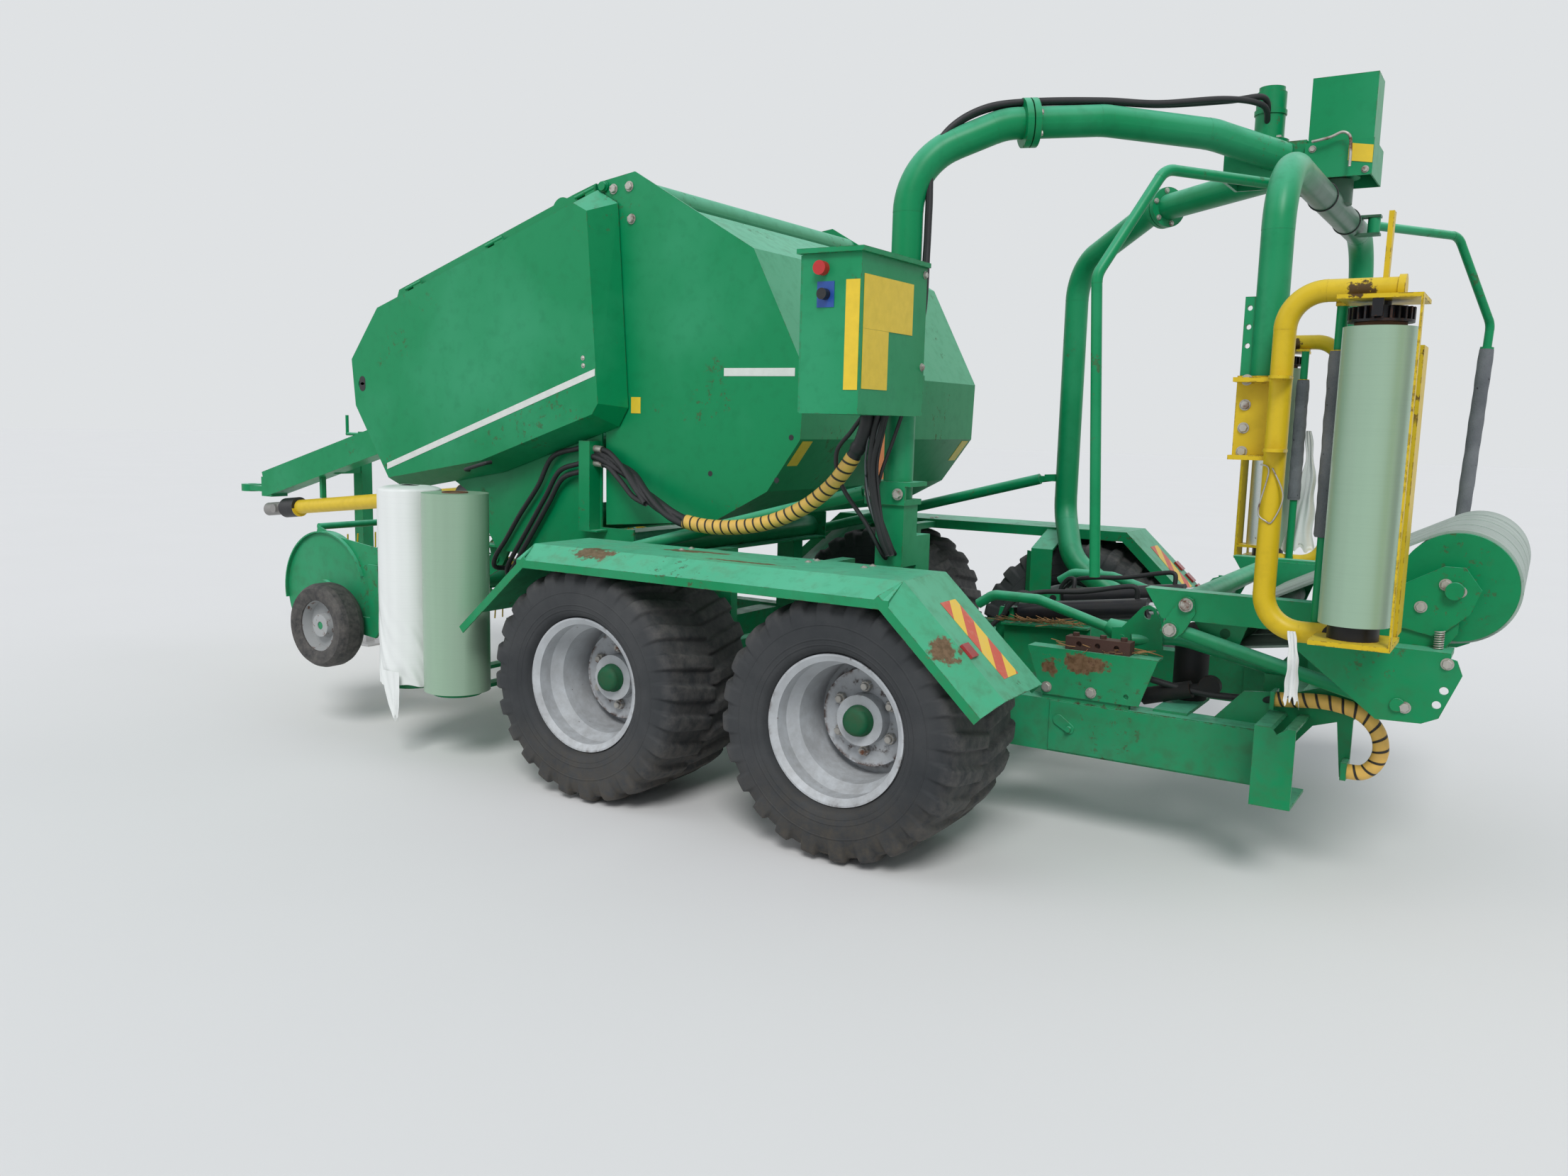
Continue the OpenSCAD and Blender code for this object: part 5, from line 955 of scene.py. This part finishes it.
stored_bag()
film_strip("film_tail", "rotor", (1392, 922, 1330), (1400, 922, 860), (0.010, 0.062), 0.009)
film_strip("bag_tail", "chassis", (-1420, -1285.5, 345), (-1392, -1285.5, 172), (0.052, 0.008), 0.003)
film_strip("film_rag", "rotor", (1692, -968, 812), (1709, -968, 636), (0.010, 0.019), 0.004)


# Cable ties, springs, leads and hoses

turn = np.linspace(0, 2 * np.pi, 49)
ring = 0.0438 * np.stack([np.cos(turn), 0 * turn, np.sin(turn)], 1)
for name, y in (("tie_near", -170), ("tie_far", 330)):
    from_arrays(name, *swept(place((1550, y, 2040)) + ring, 0.0024, 6)[:2], "black_rubber", "rotor")


def coil(name, body, start, end, radius, wire, turns):
    """A helical spring from start to end."""
    start, end = place(start, end)
    t = np.linspace(0, 1, turns * 14)[:, None]
    angle = t * turns * 2 * np.pi
    path = start + (end - start) * t + radius * np.hstack([np.cos(angle), np.sin(angle), 0 * t])
    points, faces, uv = swept(path, wire, 6)
    from_arrays(name, points, faces, "bolt_zinc", body, uv)


for side, where in SIDES:
    coil("table_spring_" + where, "table", (2010, side * 652, 749), (2010, side * 652, 806), 0.011, 0.0022, 9)
    tube("ram_hose_low_" + where, "ram_barrels",
         [(702, side * 240, 703), (700, side * 248, 736), (670, side * 262, 734), (642, side * 272, 700),
          (630, side * 276, 660)], 0.0085, 40)
    tube("ram_hose_high_" + where, "ram_barrels",
         [(1085, side * 240, 752), (1080, side * 246, 792), (1030, side * 252, 790), (900, side * 256, 762),
          (760, side * 258, 748), (690, side * 284, 728), (650, side * 292, 690), (634, side * 294, 662)], 0.0085)
    tube("frame_hose_" + where, "chassis",
         [(630, side * 276, 660), (605, side * 300, 628), (560, side * 380, 560), (528, side * 470, 460),
          (520, side * 518, 400)], 0.0085, 50)
for k, shift in enumerate((0, 24)):
    tube("motor_hose_%d" % k, "chassis",
         [(1345, -38, 2330 - shift), (1338, -95, 2372 - shift), (1250, -180 - shift, 2352),
          (1080, -318 - shift, 2328), (941, -428 - shift, 2327), (770, -556 - shift, 2316),
          (650, -655 - shift, 2290), (560, -735 - shift * 0.4, 2225), (516 + shift * 0.2, -778, 2130),
          (514 + shift * 0.2, -782, 1980), (514 + shift * 0.2, -786, 1850), (516 + shift * 0.4, -812, 1660),
          (512, -858, 1610 - shift)], 0.0095, 140, 12)
tube("lead_a", "chassis", [(455, -900, BOX_FOOT), (432, -902, 1302), (396, -900, 1180), (400, -896, 1073),
                           (450, -880, 960), (462, -849, 925)], 0.0065, 60, 8)
tube("lead_b", "chassis", [(505, -892, BOX_FOOT), (480, -900, 1260), (445, -902, 1160), (432, -900, 1073),
                           (474, -876, 940), (480, -849, 905)], 0.0060, 60, 8)
tube("lead_c", "chassis", [(378, -905, BOX_FOOT), (335, -905, 1290), (282, -902, 1221), (300, -896, 1120),
                           (390, -888, 1000), (440, -870, 910), (446, -849, 890)], 0.0075, 70, 8)
for k, (radius, shift, sag) in enumerate(((0.0110, 0, 0), (0.0105, 24, 14), (0.0034, -16, 30), (0.0034, 12, 44),
                                         (0.0042, 34, -12))):
    tube("box_lead_%d" % k, "chassis",
         [(436 + shift, -916 + 0.2 * sag, BOX_FOOT), (424 + shift, -918, 1290),
          (418 + 0.6 * shift - 0.3 * sag, -922, 1190), (430 + 0.5 * shift - 0.3 * sag, -916, 1080),
          (452 + 0.5 * shift, -904 + 0.2 * sag, 970), (472 + 0.4 * shift, -884 + 0.2 * sag, 905)], radius, 60, 8,
         "foam_grey" if k in (2, 3) else "black_rubber")
UPPER_HOSE = [(-926, -751, 1198), (-962, -752, 1192), (-1092, -748, 1155), (-1172, -746, 1037), (-1274, -744, 917),
              (-1354, -742, 812), (-1413, -741, 740), (-1446, -715, 690), (-1440, -640, 680), (-1410, -560, 700)]
LOWER_HOSE = [(-926, -751, 1139), (-955, -752, 1134), (-1055, -749, 1101), (-1130, -746, 1000), (-1227, -744, 867),
              (-1300, -742, 770), (-1352, -735, 700), (-1384, -700, 662), (-1392, -640, 660), (-1372, -560, 684)]
third_hose = [(x + 16, y, z - 28 if k else z - 24) for k, (x, y, z) in enumerate(LOWER_HOSE)]
for k, route in enumerate((UPPER_HOSE, LOWER_HOSE, third_hose)):
    tube("bracket_hose_%d" % k, "chassis", route, 0.0100, 90)
for k, (x, z) in enumerate(((-866, 1196), (-862, 1141))):
    tube("hose_ferrule_%d" % k, "chassis", [(x - 48, -752, z), (x, -752, z), (x + 36, -752, z - 3)], 0.0135, 12, 14,
         "bolt_zinc")
    tube("hose_branch_%d" % k, "chassis",
         [(x + 30, -752, z - 2), (x + 75, -757 - 8 * k, z - 14), (x + 150, -776 - 8 * k, z - 62),
          (x + 240 - 10 * k, -812, z - 132 + 20 * k), (x + 320, -846, 1008)], 0.0100)
tube("table_hose", "chassis", [(1209, -470, 534), (1290, -452, 516), (1381, -450, 507), (1480, -462, 512),
                               (1560, -510, 526), (1590, -548, 540)], 0.0105)
tube("cover_handle", "cover_left", [(-1450, -847, 1092), (-1446, -866, 1094), (-1434, -872, 1098),
                                    (-1342, -872, 1122), (-1330, -866, 1126), (-1326, -847, 1128)], 0.0080, 40)
tube("hood_lead", "chassis", [(1500, -128, 2214), (1525, -135, 2216), (1555, -135, 2222), (1584, -135, 2233),
                              (1602, -135, 2226), (1610, -134, 2210), (1613, -134, 2170), (1613, -133, 2130)],
     0.0045, 50, 8, "bolt_zinc")
tube("wire_hook", "rotor", [(1582, -955, 1237), (1604, -957, 1220), (1585, -955, 1118), (1604, -955, 1092),
                            (1622, -955, 1092), (1643, -955, 1158), (1612, -957, 1229)], 0.0022, 60, 6, "bolt_zinc")


# Straw left on the frame

def straw():
    """Short bent stalks lying at random on the angle bars and the rail tops."""
    rng = np.random.default_rng(7)
    stalk, faces, _ = swept([(0, 0, 0), (0, 0.06, 0.5), (0, 0, 1)], 0.022, 4)
    on_bars, on_rails = 90, 60
    count = on_bars + on_rails
    x = np.concatenate([rng.uniform(650, 945, on_bars), rng.uniform(960, 1200, on_rails)])
    y = np.concatenate([rng.uniform(-332, -292, on_bars), rng.uniform(-590, -530, on_rails)])
    z = np.concatenate([632 + (x[:on_bars] - 640) * 0.038 + 12, np.full(on_rails, 627.0)])
    z = z + rng.uniform(0, 7, count)
    turn = rng.uniform(0, 2 * np.pi, count)
    axes = np.stack([np.cos(turn), 0.5 * np.sin(turn), rng.uniform(-0.10, 0.16, count)], 1)
    places = place(*np.stack([x, y, z], 1))
    points, tris = copies(stalk, faces, places, axes, turn, rng.uniform(0.03, 0.085, count))
    from_arrays("straw", points, tris, "straw", "chassis")


straw()
